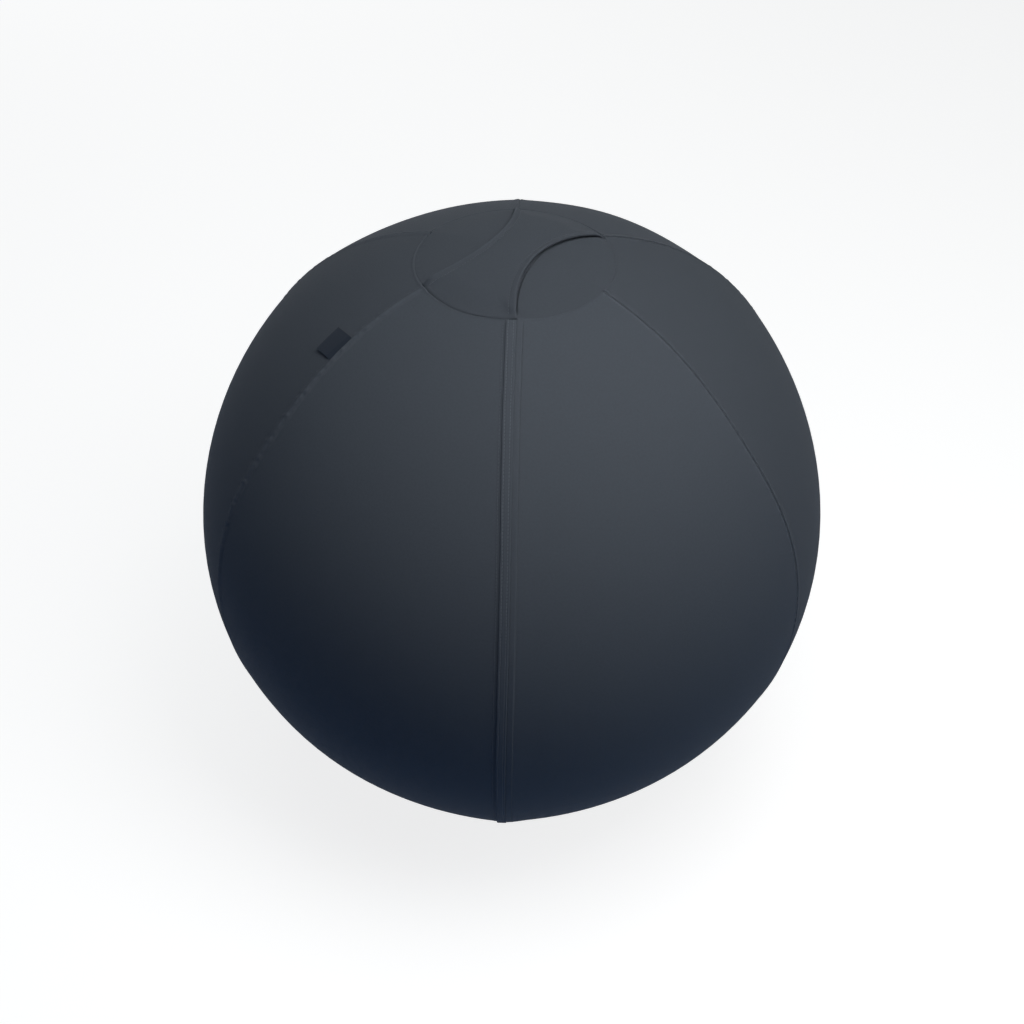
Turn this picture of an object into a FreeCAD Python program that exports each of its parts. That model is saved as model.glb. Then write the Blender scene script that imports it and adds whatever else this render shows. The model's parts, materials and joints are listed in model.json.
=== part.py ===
# Sitting ball: an air bladder in a sewn fabric cover with a carrying handle on top,
# a concealed zip down the front, a side label and a weighted base.
# Millimetres. The origin is on the floor under the ball, +Z is up, the zip faces -Y.
import FreeCAD, Part
import math
import os

import Sketcher
from FreeCAD import Placement, Rotation, Vector

# Every driving size: name, value, what it sets.
SIZES = (
    ("ball_diameter", 650.0, "outside of the cover"),
    ("contact_diameter", 120.0, "flat patch that rests on the floor"),
    ("cover_thickness", 1.5, "fabric of the panels with its backing"),
    ("top_panel_diameter", 190.0, "round panel under the handle"),
    ("base_panel_diameter", 190.0, "round panel under the weight"),
    ("bladder_clearance", 0.8, "between the cover and the bladder"),
    ("bladder_wall", 1.0, "wall of the bladder"),
    ("handle_waist", 50.0, "width of the handle at its middle"),
    ("handle_layer", 1.5, "each of the two layers of the handle"),
    ("handle_gap", 3.0, "slit under the middle of the handle"),
    ("handle_seat", 0.3, "slit under the ends of the handle"),
    ("zip_opening", 11.0, "between the edges of the two front panels"),
    ("zip_drop", 60.0, "along the cover from the top panel to the chain"),
    ("zip_length", 660.0, "chain with its two stops"),
    ("tape_width", 14.0, "each half of the tape, from the middle of the zip"),
    ("tape_thickness", 0.5, "woven tape"),
    ("coil_seat", 0.1, "stitching between the tape and the coil"),
    ("coil_gap", 1.4, "between the two coil halves"),
    ("coil_width", 2.4, "each coil half"),
    ("coil_thickness", 1.8, "coil under the tape"),
    ("stop_length", 3.0, "each end stop, along the chain"),
    ("slider_length", 12.0, "plates of the slider, along the chain"),
    ("slider_width", 8.0, "plates of the slider, across the chain"),
    ("slider_plate", 0.7, "thickness of the plates"),
    ("slider_clearance", 0.2, "running clearance round the chain"),
    ("post_width", 0.8, "post between the plates, across the chain"),
    ("post_length", 4.0, "post between the plates, along the chain"),
    ("lug_width", 0.8, "each of the two lugs that hold the bar"),
    ("lug_length", 1.4, "lugs, along the chain"),
    ("bar_diameter", 0.8, "bar that the pull turns on"),
    ("bar_length", 3.8, "bar between the lugs"),
    ("eye_wall", 0.4, "round the bore of the pull's eye"),
    ("eye_clearance", 0.1, "round the bar and at the sides of the eye"),
    ("pull_length", 16.0, "from the bar to the tip of the pull"),
    ("pull_width", 5.4, "tab of the pull"),
    ("pull_thickness", 0.8, "tab of the pull"),
    ("lap_free", 6.0, "lap on the free side of the zip's middle"),
    ("lap_top", 5.0, "raised part on the sewn side of the zip's middle"),
    ("lap_ramp", 2.0, "slope from the raised part to the sewn foot"),
    ("lap_foot", 6.0, "sewn foot on the right panel"),
    ("lap_thickness", 1.0, "folded fabric of the lap"),
    ("lap_clearance", 0.25, "between the pull and the lap"),
    ("label_length", 30.0, "along the seam"),
    ("label_width", 20.0, "from the seam to the free edge"),
    ("label_thickness", 0.8, "two layers of woven band"),
    ("label_lift", 0.25, "between the label and the cover"),
    ("label_drop", 82.0, "along the seam from the top panel to the label"),
    ("valve_azimuth", 20.0, "degrees from the zip to the valve"),
    ("valve_bore", 8.0, "bore for the plug"),
    ("valve_outer", 24.0, "outside of the valve seat"),
    ("valve_length", 15.0, "depth of the valve seat"),
    ("plug_flange", 16.0, "head of the plug"),
    ("plug_flange_thickness", 1.5, "head of the plug"),
    ("plug_clearance", 0.2, "round the head of the plug"),
    ("pouch_top", 140.0, "flat top of the weight"),
    ("pouch_height", 22.0, "top of the weight above the floor"),
    ("pouch_flank", 45.0, "degrees of the weight's sloping side"),
    ("pouch_seat", 0.3, "slit between the weight's curved foot and the base panel"),
    ("liner_thickness", 0.8, "fabric over the weight"),
    ("liner_clearance", 0.3, "between that fabric and the bladder"),
)

# The six panels in order from the zip to the right, round the back, to the zip again.
PANELS = (
    "panel_front_right",
    "panel_right",
    "panel_back_right",
    "panel_back_left",
    "panel_left",
    "panel_front_left",
)
PANEL_ANGLE = 360 / len(PANELS)
HANDLE_ANGLE = -90 - PANEL_ANGLE / 2
LABEL_ANGLE = -PANEL_ANGLE

# Sizes that follow from the driving ones, in a frame with the ball's centre at its origin.
RADIUS = "(Sizes.ball_diameter / 2)"
INNER = f"({RADIUS} - Sizes.cover_thickness)"
BLADDER = f"({INNER} - Sizes.bladder_clearance)"
CENTRE = f"sqrt({RADIUS}^2 - (Sizes.contact_diameter / 2)^2)"
TOP_RIM = "(Sizes.top_panel_diameter / 2)"
BASE_RIM = "(Sizes.base_panel_diameter / 2)"
TOP_ANGLE = f"asin({TOP_RIM} / {RADIUS})"
BASE_ANGLE = f"(180 deg - asin({BASE_RIM} / {RADIUS}))"

CHAIN_START = f"({TOP_ANGLE} + Sizes.zip_drop / {RADIUS} * 1 rad)"
CHAIN_ANGLE = f"(Sizes.zip_length / {RADIUS} * 1 rad)"
STOP_ANGLE = f"(Sizes.stop_length / {RADIUS} * 1 rad)"
CHAIN_END = f"({CHAIN_START} + {CHAIN_ANGLE})"
CHAIN_MIDDLE = f"({CHAIN_START} + {CHAIN_ANGLE} / 2)"
PARKED = (
    f"({CHAIN_END} - (Sizes.stop_length + Sizes.slider_length / 2"
    f" + Sizes.slider_clearance) / {RADIUS} * 1 rad)"
)
CHAIN_SIDE = "(Sizes.coil_gap / 2 + Sizes.coil_width)"
TAPE_INNER = f"({INNER} - Sizes.tape_thickness)"
COIL_OUTER = f"({TAPE_INNER} - Sizes.coil_seat)"
COIL_INNER = f"({COIL_OUTER} - Sizes.coil_thickness)"
LOWER_PLATE = f"({COIL_INNER} - Sizes.slider_clearance - Sizes.slider_plate)"
UPPER_PLATE = f"({INNER} + Sizes.slider_clearance)"
PLATE_TOP = f"({UPPER_PLATE} + Sizes.slider_plate)"
EYE_BORE = "(Sizes.bar_diameter / 2 + Sizes.eye_clearance)"
EYE_OUTER = f"({EYE_BORE} + Sizes.eye_wall)"
BAR_HEIGHT = f"({PLATE_TOP} + {EYE_OUTER} + Sizes.slider_clearance)"
PULL_TOP = (
    f"max({BAR_HEIGHT} + {EYE_OUTER}; "
    f"sqrt(({BAR_HEIGHT} + Sizes.pull_thickness / 2)^2 + Sizes.pull_length^2))"
)
LAP_INNER = f"({PULL_TOP} + Sizes.lap_clearance)"
LAP_OUTER = f"({LAP_INNER} + Sizes.lap_thickness)"
CHANNEL = f"({LOWER_PLATE} - 1.5 * Sizes.slider_clearance)"
CHANNEL_SIDE = "(Sizes.slider_width / 2 + 5 * Sizes.slider_clearance)"
CHANNEL_ANGLE = f"({CHAIN_ANGLE} + 2 * {STOP_ANGLE})"

HANDLE_REACH = f"({TOP_RIM} - Sizes.handle_seat)"
HANDLE_RISE = (
    f"({RADIUS} + Sizes.handle_gap - sqrt({RADIUS}^2 - {TOP_RIM}^2) - Sizes.handle_seat)"
)
HANDLE_RADIUS = f"(({TOP_RIM}^2 + {HANDLE_RISE}^2) / (2 * {HANDLE_RISE}))"
HANDLE_CENTRE = f"({CENTRE} + {RADIUS} + Sizes.handle_gap - {HANDLE_RADIUS})"
HALF_PANEL = f"{PANEL_ANGLE / 2} deg"
EDGE_RUN = f"({HANDLE_REACH} * cos({HALF_PANEL}))"
EDGE_SAG = f"({HANDLE_REACH} * sin({HALF_PANEL}) - Sizes.handle_waist / 2)"
EDGE_RADIUS = f"(({EDGE_RUN}^2 + {EDGE_SAG}^2) / (2 * {EDGE_SAG}))"
EDGE_CENTRE = f"(Sizes.handle_waist / 2 + {EDGE_RADIUS})"

LABEL_POLAR = (
    f"({TOP_ANGLE} + (Sizes.label_drop + Sizes.label_length / 2) / {RADIUS} * 1 rad)"
)

VALVE_SIDE = "(Sizes.valve_outer / 2)"
VALVE_TOP = f"(sqrt({BLADDER}^2 - {VALVE_SIDE}^2) - Sizes.plug_clearance)"
VALVE_FOOT = f"({BLADDER} - Sizes.valve_length)"
PLUG_SEAT = f"({VALVE_TOP} - Sizes.plug_flange_thickness - Sizes.plug_clearance)"
PLUG_SIDE = "(Sizes.plug_flange / 2)"
PLUG_STEM = "(Sizes.valve_bore / 2)"

FLOOR = f"(-{CENTRE})"
FLOOR_INSIDE = f"({FLOOR} + Sizes.cover_thickness)"
POUCH_TOP = f"({FLOOR} + Sizes.pouch_height)"
POUCH_FOOT = f"({INNER} - Sizes.pouch_seat)"
FLANK = "(Sizes.pouch_flank * 1 deg)"


def make_sheet(doc):
    """The spreadsheet that holds every driving size under its name."""
    sheet = doc.addObject("Spreadsheet::Sheet", "Sizes")
    for row, (alias, size, meaning) in enumerate(SIZES, start=1):
        sheet.set(f"A{row}", alias)
        sheet.set(f"B{row}", str(size))
        sheet.set(f"C{row}", meaning)
        sheet.setAlias(f"B{row}", alias)
    doc.recompute()
    return sheet


def value(text):
    """The number that an expression gives with the sizes in the sheet."""
    result = sheet.evalExpression(text)
    return float(getattr(result, "Value", result))


def bind(sketch, constraint, text):
    """Add a dimension to a sketch and tie it to an expression."""
    index = sketch.addConstraint(constraint)
    sketch.setExpression(f"Constraints[{index}]", text)


def dimension(sketch, geometry, end, texts, which):
    """Dimension a point from the sketch's origin along x, along y or along both."""
    for axis, kind, line, text in (
        ("x", "DistanceX", -2, texts[0]),
        ("y", "DistanceY", -1, texts[1]),
    ):
        if axis not in which:
            continue
        size = value(text)
        if abs(size) < 1e-9:
            on_axis = Sketcher.Constraint("PointOnObject", geometry, end, line)
            sketch.addConstraint(on_axis)
        elif size > 0:
            bind(sketch, Sketcher.Constraint(kind, -1, 1, geometry, end, size), text)
        else:
            away = Sketcher.Constraint(kind, geometry, end, -1, 1, -size)
            bind(sketch, away, f"-({text})")


def outline(sketch, corners):
    """Draw a closed outline. A corner holds x, y, the coordinates to dimension, and
    the edge that follows: None for a line, (radius, height) for an arc whose centre is
    on the sketch's vertical axis at that height, or at the origin where it is None."""
    points = [Vector(value(x), value(y), 0) for x, y, _, _ in corners]
    edges = []
    for index, (_, _, _, arc) in enumerate(corners):
        start = points[index]
        stop = points[(index + 1) % len(points)]
        if arc is None:
            geometry = sketch.addGeometry(Part.LineSegment(start, stop))
            edges.append((geometry, 1, 2))
            continue
        radius, height = arc
        middle = Vector(0, value(height) if height else 0, 0)
        first = math.atan2(start.y - middle.y, start.x)
        last = math.atan2(stop.y - middle.y, stop.x)
        forward = (last - first) % (2 * math.pi) < math.pi
        circle = Part.Circle(middle, Vector(0, 0, 1), value(radius))
        angles = (first, last) if forward else (last, first)
        geometry = sketch.addGeometry(Part.ArcOfCircle(circle, *angles))
        edges.append((geometry, 1, 2) if forward else (geometry, 2, 1))
        bind(sketch, Sketcher.Constraint("Radius", geometry, value(radius)), radius)
        if height:
            dimension(sketch, geometry, 3, ("0", height), "xy")
        else:
            sketch.addConstraint(Sketcher.Constraint("Coincident", geometry, 3, -1, 1))
    for index, (geometry, start, stop) in enumerate(edges):
        following = edges[(index + 1) % len(edges)]
        sketch.addConstraint(
            Sketcher.Constraint("Coincident", geometry, stop, following[0], following[1])
        )
        x, y, which, _ = corners[index]
        dimension(sketch, geometry, start, (x, y), which)


def new_sketch(body, role):
    """A sketch on one of a body's own origin planes."""
    sketch = body.newObject("Sketcher::SketchObject", body.Name + "_outline")
    plane = next(f for f in body.Origin.OriginFeatures if f.Role == role)
    sketch.AttachmentSupport = [(plane, "")]
    sketch.MapMode = "FlatFace"
    return sketch


def revolved(name, corners, axis, angle=None):
    """A body turned from an outline in the XZ plane, evenly to both sides of it."""
    body = doc.addObject("PartDesign::Body", name)
    sketch = new_sketch(body, "XZ_Plane")
    outline(sketch, corners)
    turn = body.newObject("PartDesign::Revolution", name + "_turn")
    turn.Profile = sketch
    turn.ReferenceAxis = (sketch, [axis])
    if angle:
        turn.Midplane = True
        turn.setExpression("Angle", angle)
    else:
        turn.Angle = 360
    return body


def place(item, yaw=None, roll=None, height=CENTRE):
    """Set an item round the ball: tipped forward by roll, then turned by yaw."""
    angles = [value(text) if text else 0 for text in (yaw, None, roll)]
    item.Placement = Placement(Vector(0, 0, value(height)), Rotation(*angles))
    item.setExpression("Placement.Base.z", height)
    if yaw:
        item.setExpression("Placement.Rotation.Yaw", yaw)
    if roll:
        item.setExpression("Placement.Rotation.Roll", roll)
    return item


def block(name, size, corner):
    """A box from its three sizes and its lowest corner."""
    item = doc.addObject("Part::Box", name)
    for property_name, text in zip(("Length", "Width", "Height"), size):
        item.setExpression(property_name, text)
    for axis, text in zip("xyz", corner):
        item.setExpression(f"Placement.Base.{axis}", text)
    return item


def rod(name, radius, length, height):
    """A round bar across the zip, centred on it."""
    item = doc.addObject("Part::Cylinder", name)
    item.setExpression("Radius", radius)
    item.setExpression("Height", length)
    item.Placement = Placement(Vector(0, 0, 0), Rotation(Vector(0, 1, 0), 90))
    item.setExpression("Placement.Base.x", f"-({length}) / 2")
    item.setExpression("Placement.Base.z", height)
    return item


def joined(name, items):
    """One solid from several that touch."""
    item = doc.addObject("Part::MultiFuse", name)
    item.Shapes = items
    item.Refine = True
    return item


def cut(name, base, tool):
    """What is left of one item after another is taken away."""
    item = doc.addObject("Part::Cut", name)
    item.Base = base
    item.Tool = tool
    return item


def sector(outer, inner, start, stop):
    """Corners of a curved strip between two rims, each given by its outer radius."""
    ratio = f"{inner} / {outer}"
    corners = []
    for rim, sign, radius, arc in (
        (start, "-", outer, (outer, None)),
        (stop, "", outer, None),
        (stop, "", inner, (inner, None)),
        (start, "-", inner, None),
    ):
        x = rim if radius == outer else f"{rim} * {ratio}"
        corners.append((x, f"{sign}sqrt({radius}^2 - ({x})^2)", "x", arc))
    return corners


def band(name, outer, inner, near, far, angle, middle):
    """A strip of the zip: a piece of a ball's shell between two distances from the
    zip's middle, along a span of the front."""
    corners = [
        (far, f"sqrt({outer}^2 - ({far})^2)", "x", (outer, None)),
        (near, f"sqrt({outer}^2 - ({near})^2)", "x", None),
        (near, f"sqrt({inner}^2 - ({near})^2)", "x", (inner, None)),
        (far, f"sqrt({inner}^2 - ({far})^2)", "x", None),
    ]
    return place(revolved(name, corners, "H_Axis", angle), roll=middle)


def make_panels():
    """The six upright panels; the two front ones are cut back along the zip."""
    corners = sector(RADIUS, INNER, BASE_RIM, TOP_RIM)
    slot = block(
        "zip_slot",
        ("Sizes.zip_opening", f"{RADIUS} + 10", f"2 * {RADIUS} + 20"),
        ("-Sizes.zip_opening / 2", f"-({RADIUS} + 10)", "-10"),
    )
    nodes = []
    for index, name in enumerate(PANELS):
        front = "front" in name
        body = revolved(
            name + "_whole" if front else name, corners, "V_Axis", f"{PANEL_ANGLE}"
        )
        turned = (index + 0.5) * PANEL_ANGLE - 90
        place(body, yaw=f"{turned if turned <= 180 else turned - 360}")
        nodes.append(cut(name, body, slot) if front else body)
    return nodes


def make_round_panels():
    """The domed panel on top and the flat-footed panel below."""
    edge = f"{TOP_RIM} * {INNER} / {RADIUS}"
    top = [
        (TOP_RIM, f"sqrt({RADIUS}^2 - {TOP_RIM}^2)", "x", (RADIUS, None)),
        ("0", RADIUS, "x", None),
        ("0", INNER, "x", (INNER, None)),
        (edge, f"sqrt({INNER}^2 - ({edge})^2)", "x", None),
    ]
    inside = f"{BASE_RIM} * {INNER} / {RADIUS}"
    flat = "Sizes.contact_diameter / 2"
    flat_inside = f"sqrt({INNER}^2 - ({FLOOR_INSIDE})^2)"
    base = [
        ("0", FLOOR, "xy", None),
        (flat, FLOOR, "x", (RADIUS, None)),
        (BASE_RIM, f"-sqrt({RADIUS}^2 - {BASE_RIM}^2)", "x", None),
        (inside, f"-sqrt({INNER}^2 - ({inside})^2)", "x", (INNER, None)),
        (flat_inside, FLOOR_INSIDE, "y", None),
        ("0", FLOOR_INSIDE, "xy", None),
    ]
    return [
        place(revolved("top_panel", top, "V_Axis")),
        place(revolved("base_panel", base, "V_Axis")),
    ]


def make_handle():
    """The handle's lining and face: two domed layers trimmed to a waisted outline."""
    run = EDGE_RUN
    rise = f"{HANDLE_REACH} * sin({HALF_PANEL})"
    waisted = [
        (run, f"-{rise}", "", (HANDLE_REACH, None)),
        (run, rise, "", (EDGE_RADIUS, EDGE_CENTRE)),
        (f"-{run}", rise, "", (HANDLE_REACH, None)),
        (f"-{run}", f"-{rise}", "", (EDGE_RADIUS, f"-{EDGE_CENTRE}")),
    ]
    nodes = []
    for order, name in enumerate(("handle_lining", "handle_face")):
        inner = f"({HANDLE_RADIUS} + {order} * Sizes.handle_layer)"
        outer = f"({inner} + Sizes.handle_layer)"
        side = f"({TOP_RIM} * 1.1)"
        dome = [
            (side, f"sqrt({outer}^2 - {side}^2)", "x", (outer, None)),
            ("0", outer, "x", None),
            ("0", inner, "x", (inner, None)),
            (side, f"sqrt({inner}^2 - {side}^2)", "x", None),
        ]
        cap = place(revolved(name + "_dome", dome, "V_Axis"), height=HANDLE_CENTRE)
        trim = doc.addObject("PartDesign::Body", name + "_trim")
        sketch = new_sketch(trim, "XY_Plane")
        outline(sketch, waisted)
        pad = trim.newObject("PartDesign::Pad", name + "_pad")
        pad.Profile = sketch
        pad.setExpression("Length", f"2 * {RADIUS}")
        place(trim, yaw=f"{HANDLE_ANGLE}")
        common = doc.addObject("Part::Common", name)
        common.Base = cap
        common.Tool = trim
        nodes.append(common)
    return nodes


def make_zip():
    """Tapes, coils, stops, slider, pull and the lap that covers them."""
    tape_angle = f"({BASE_ANGLE} - {TOP_ANGLE})"
    tape_middle = f"(({BASE_ANGLE} + {TOP_ANGLE}) / 2)"
    coil_angle = f"({CHAIN_ANGLE} - 2 * {STOP_ANGLE})"
    gap = "Sizes.coil_gap / 2"
    nodes = []
    for side, sign in (("left", "-"), ("right", "")):
        ends = (f"{sign}{gap}", f"{sign}Sizes.tape_width")
        tape = (INNER, TAPE_INNER, *ends, tape_angle, tape_middle)
        nodes.append(band(f"zip_tape_{side}", *tape))
        ends = (f"{sign}{gap}", f"{sign}{CHAIN_SIDE}")
        coil = (COIL_OUTER, COIL_INNER, *ends, coil_angle, CHAIN_MIDDLE)
        nodes.append(band(f"zip_coil_{side}", *coil))
    for name, middle in (
        ("zip_top_stop", f"{CHAIN_START} + {STOP_ANGLE} / 2"),
        ("zip_bottom_stop", f"{CHAIN_END} - {STOP_ANGLE} / 2"),
    ):
        ends = (f"-{CHAIN_SIDE}", CHAIN_SIDE)
        nodes.append(band(name, COIL_OUTER, COIL_INNER, *ends, STOP_ANGLE, middle))
    nodes += [make_slider(), make_pull(), make_lap(tape_angle, tape_middle)]
    return nodes


def make_slider():
    """Two plates on a post, with a bar between two lugs on top."""
    wide = "Sizes.slider_width"
    long = "Sizes.slider_length"
    plate = "Sizes.slider_plate"
    corner = (f"-{wide} / 2", f"-{long} / 2")
    tall = f"{UPPER_PLATE} - {LOWER_PLATE}"
    lug_tall = f"{BAR_HEIGHT} + Sizes.bar_diameter - {PLATE_TOP}"
    items = [
        block("slider_lower", (wide, long, plate), (*corner, LOWER_PLATE)),
        block("slider_upper", (wide, long, plate), (*corner, UPPER_PLATE)),
        block(
            "slider_post",
            ("Sizes.post_width", "Sizes.post_length", tall),
            ("-Sizes.post_width / 2", f"{long} / 2 - Sizes.post_length", LOWER_PLATE),
        ),
        rod(
            "slider_bar",
            "Sizes.bar_diameter / 2",
            "Sizes.bar_length + Sizes.lug_width",
            BAR_HEIGHT,
        ),
    ]
    for name, start in (
        ("slider_lug_left", "-Sizes.bar_length / 2 - Sizes.lug_width"),
        ("slider_lug_right", "Sizes.bar_length / 2"),
    ):
        size = ("Sizes.lug_width", "Sizes.lug_length", lug_tall)
        items.append(block(name, size, (start, "-Sizes.lug_length / 2", PLATE_TOP)))
    return place(joined("zip_slider", items), roll=PARKED)


def make_pull():
    """An eye on the slider's bar and a flat tab that lies up along the zip."""
    eye_long = "(Sizes.bar_length - 2 * Sizes.eye_clearance)"
    thick = "Sizes.pull_thickness"
    neck = "(Sizes.lug_length / 2 + 3 * Sizes.eye_clearance)"
    low = f"{BAR_HEIGHT} - {thick} / 2"
    items = [
        rod("pull_eye", EYE_OUTER, eye_long, BAR_HEIGHT),
        block("pull_neck", (eye_long, f"{neck} * 1.5", thick), (f"-{eye_long} / 2", "0", low)),
        block(
            "pull_tab",
            ("Sizes.pull_width", f"Sizes.pull_length - {neck}", thick),
            ("-Sizes.pull_width / 2", neck, low),
        ),
    ]
    solid = joined("pull_solid", items)
    bore = rod("pull_bore", EYE_BORE, "2 * Sizes.bar_length", BAR_HEIGHT)
    return place(cut("zip_pull", solid, bore), roll=PARKED)


def make_lap(angle, middle):
    """The folded strip over the zip, sewn by its foot to the right front panel."""
    free = "-Sizes.lap_free"
    top = "Sizes.lap_top"
    foot = "(Sizes.lap_top + Sizes.lap_ramp)"
    edge = "(Sizes.lap_top + Sizes.lap_ramp + Sizes.lap_foot)"
    raised = f"{RADIUS} + Sizes.lap_thickness"
    corners = [
        (free, LAP_INNER, "xy", None),
        (top, LAP_INNER, "xy", None),
        (foot, RADIUS, "xy", None),
        (edge, RADIUS, "xy", None),
        (edge, raised, "xy", None),
        (foot, raised, "xy", None),
        (top, LAP_OUTER, "xy", None),
        (free, LAP_OUTER, "xy", None),
    ]
    return place(revolved("zip_lap", corners, "H_Axis", angle), roll=middle)


def make_label():
    """The folded label, sewn into the left front seam by its right edge."""
    label = doc.addObject("PartDesign::Body", "side_label")
    sketch = new_sketch(label, "XY_Plane")
    wide = "-Sizes.label_width"
    half = "Sizes.label_length / 2"
    corners = [
        (wide, f"-{half}", "xy", None),
        ("0", f"-{half}", "xy", None),
        ("0", half, "xy", None),
        (wide, half, "xy", None),
    ]
    outline(sketch, corners)
    sketch.setExpression("AttachmentOffset.Base.z", f"{RADIUS} + Sizes.label_lift")
    pad = label.newObject("PartDesign::Pad", "side_label_pad")
    pad.Profile = sketch
    pad.setExpression("Length", "Sizes.label_thickness")
    return [place(label, yaw=f"{LABEL_ANGLE}", roll=LABEL_POLAR)]


def make_bladder():
    """The bladder, with a dent over the weight, a groove under the slider's path and
    a hole for the valve seat."""
    solids = []
    rest = "(Sizes.liner_thickness + Sizes.liner_clearance)"
    for name, radius, offset in (
        ("bladder_outside", BLADDER, rest),
        ("bladder_inside", f"({BLADDER} - Sizes.bladder_wall)", f"({rest} + Sizes.bladder_wall)"),
    ):
        corners = dented(radius, offset)
        corners[0] = ("0", radius, "x", (radius, None))
        solids.append(place(revolved(name, corners, "V_Axis")))
    grooves = []
    for name, radius, side, angle in (
        ("groove_outside", CHANNEL, CHANNEL_SIDE, CHANNEL_ANGLE),
        (
            "groove_inside",
            f"({CHANNEL} - Sizes.bladder_wall)",
            f"({CHANNEL_SIDE} + Sizes.bladder_wall)",
            f"({CHANNEL_ANGLE} + 2 * Sizes.bladder_wall / {RADIUS} * 1 rad)",
        ),
    ):
        ends = (f"-{side}", side)
        grooves.append(band(name, RADIUS, radius, *ends, angle, CHAIN_MIDDLE))
    skin = cut("bladder_grooved", solids[0], grooves[0])
    air = cut("bladder_air", solids[1], grooves[1])
    wall = cut("bladder_wall_solid", skin, air)
    hole = doc.addObject("Part::Cylinder", "valve_hole")
    hole.setExpression("Radius", VALVE_SIDE)
    hole.setExpression("Height", RADIUS)
    place(hole, yaw="Sizes.valve_azimuth * 1 deg", roll="90 deg")
    return [cut("bladder", wall, hole)]


def dented(radius, offset):
    """Corners of a ball whose foot is pressed in over the weight. The first corner is
    the weight's foot, for the caller to keep or to change to the ball's top."""
    level = f"({POUCH_TOP} + {offset})"
    top = f"(Sizes.pouch_top / 2 + {offset} * tan({FLANK} / 2))"
    across = f"({top} * sin({FLANK}) + {level} * cos({FLANK}))"
    along = f"({top} * cos({FLANK}) - {level} * sin({FLANK}))"
    slide = f"(sqrt({radius}^2 - {across}^2) - {along})"
    x = f"({top} + {slide} * cos({FLANK}))"
    y = f"({level} - {slide} * sin({FLANK}))"
    return [
        None,
        (x, y, "x", None),
        (top, level, "xy", None),
        ("0", level, "xy", None),
    ]


def make_weight():
    """The weight on the base panel and the fabric over it."""
    flat = f"sqrt({POUCH_FOOT}^2 - ({FLOOR_INSIDE})^2)"
    fill = dented(POUCH_FOOT, "0")
    fill[0] = ("0", FLOOR_INSIDE, "xy", None)
    fill.insert(1, (flat, FLOOR_INSIDE, "y", (POUCH_FOOT, None)))
    low = dented(POUCH_FOOT, "0")
    high = dented(POUCH_FOOT, "Sizes.liner_thickness")
    x, y, which, _ = low[1]
    foot = (x, y, which, (POUCH_FOOT, None))
    liner = [low[3], low[2], foot, *high[1:]]
    return [
        place(revolved("base_weight", fill, "V_Axis")),
        place(revolved("base_liner", liner, "V_Axis")),
    ]


def make_valve():
    """The valve seat in the bladder and its plug, flush with the bladder."""
    bore = PLUG_STEM
    counter = f"({PLUG_SIDE} + Sizes.plug_clearance)"
    seat = [
        (bore, VALVE_FOOT, "xy", None),
        (VALVE_SIDE, VALVE_FOOT, "xy", None),
        (VALVE_SIDE, VALVE_TOP, "xy", None),
        (counter, VALVE_TOP, "xy", None),
        (counter, PLUG_SEAT, "xy", None),
        (bore, PLUG_SEAT, "xy", None),
    ]
    head = f"({PLUG_SEAT} + Sizes.plug_flange_thickness)"
    foot = f"({VALVE_FOOT} + Sizes.plug_flange_thickness)"
    plug = [
        ("0", foot, "xy", None),
        (bore, foot, "xy", None),
        (bore, PLUG_SEAT, "xy", None),
        (PLUG_SIDE, PLUG_SEAT, "xy", None),
        (PLUG_SIDE, head, "xy", None),
        ("0", head, "xy", None),
    ]
    turned = {"yaw": "Sizes.valve_azimuth * 1 deg", "roll": "90 deg"}
    return [
        place(revolved("valve_seat", seat, "V_Axis"), **turned),
        place(revolved("valve_plug", plug, "V_Axis"), **turned),
    ]


doc = FreeCAD.newDocument("sitting_ball")
sheet = make_sheet(doc)
nodes = make_panels() + make_round_panels() + make_handle() + make_zip()
nodes += make_label() + make_bladder() + make_weight() + make_valve()
doc.recompute()

for item in doc.Objects:
    if "Invalid" in item.State or "Error" in item.State:
        raise RuntimeError(f"{item.Label} did not recompute: {item.State}")
os.makedirs("parts", exist_ok=True)
for node in nodes:
    shape = node.Shape
    if shape.isNull() or not shape.isValid():
        raise RuntimeError(f"{node.Label} has no valid shape")
    if len(shape.Solids) != 1:
        raise RuntimeError(f"{node.Label} is {len(shape.Solids)} solids")
    shape.exportStep(f"parts/{node.Label}.step")
    box = shape.BoundBox
    print(node.Label, round(shape.Volume), [round(n, 1) for n in (
        box.XMin, box.XMax, box.YMin, box.YMax, box.ZMin, box.ZMax)])
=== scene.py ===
"""Looks of a sitting ball: a sewn fabric cover with a carry handle and a lapped zip."""
import json
import math

import bmesh
import bpy
import numpy as np
from bpy.props import FloatProperty, FloatVectorProperty, PointerProperty
from mathutils import Matrix, Vector


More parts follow.
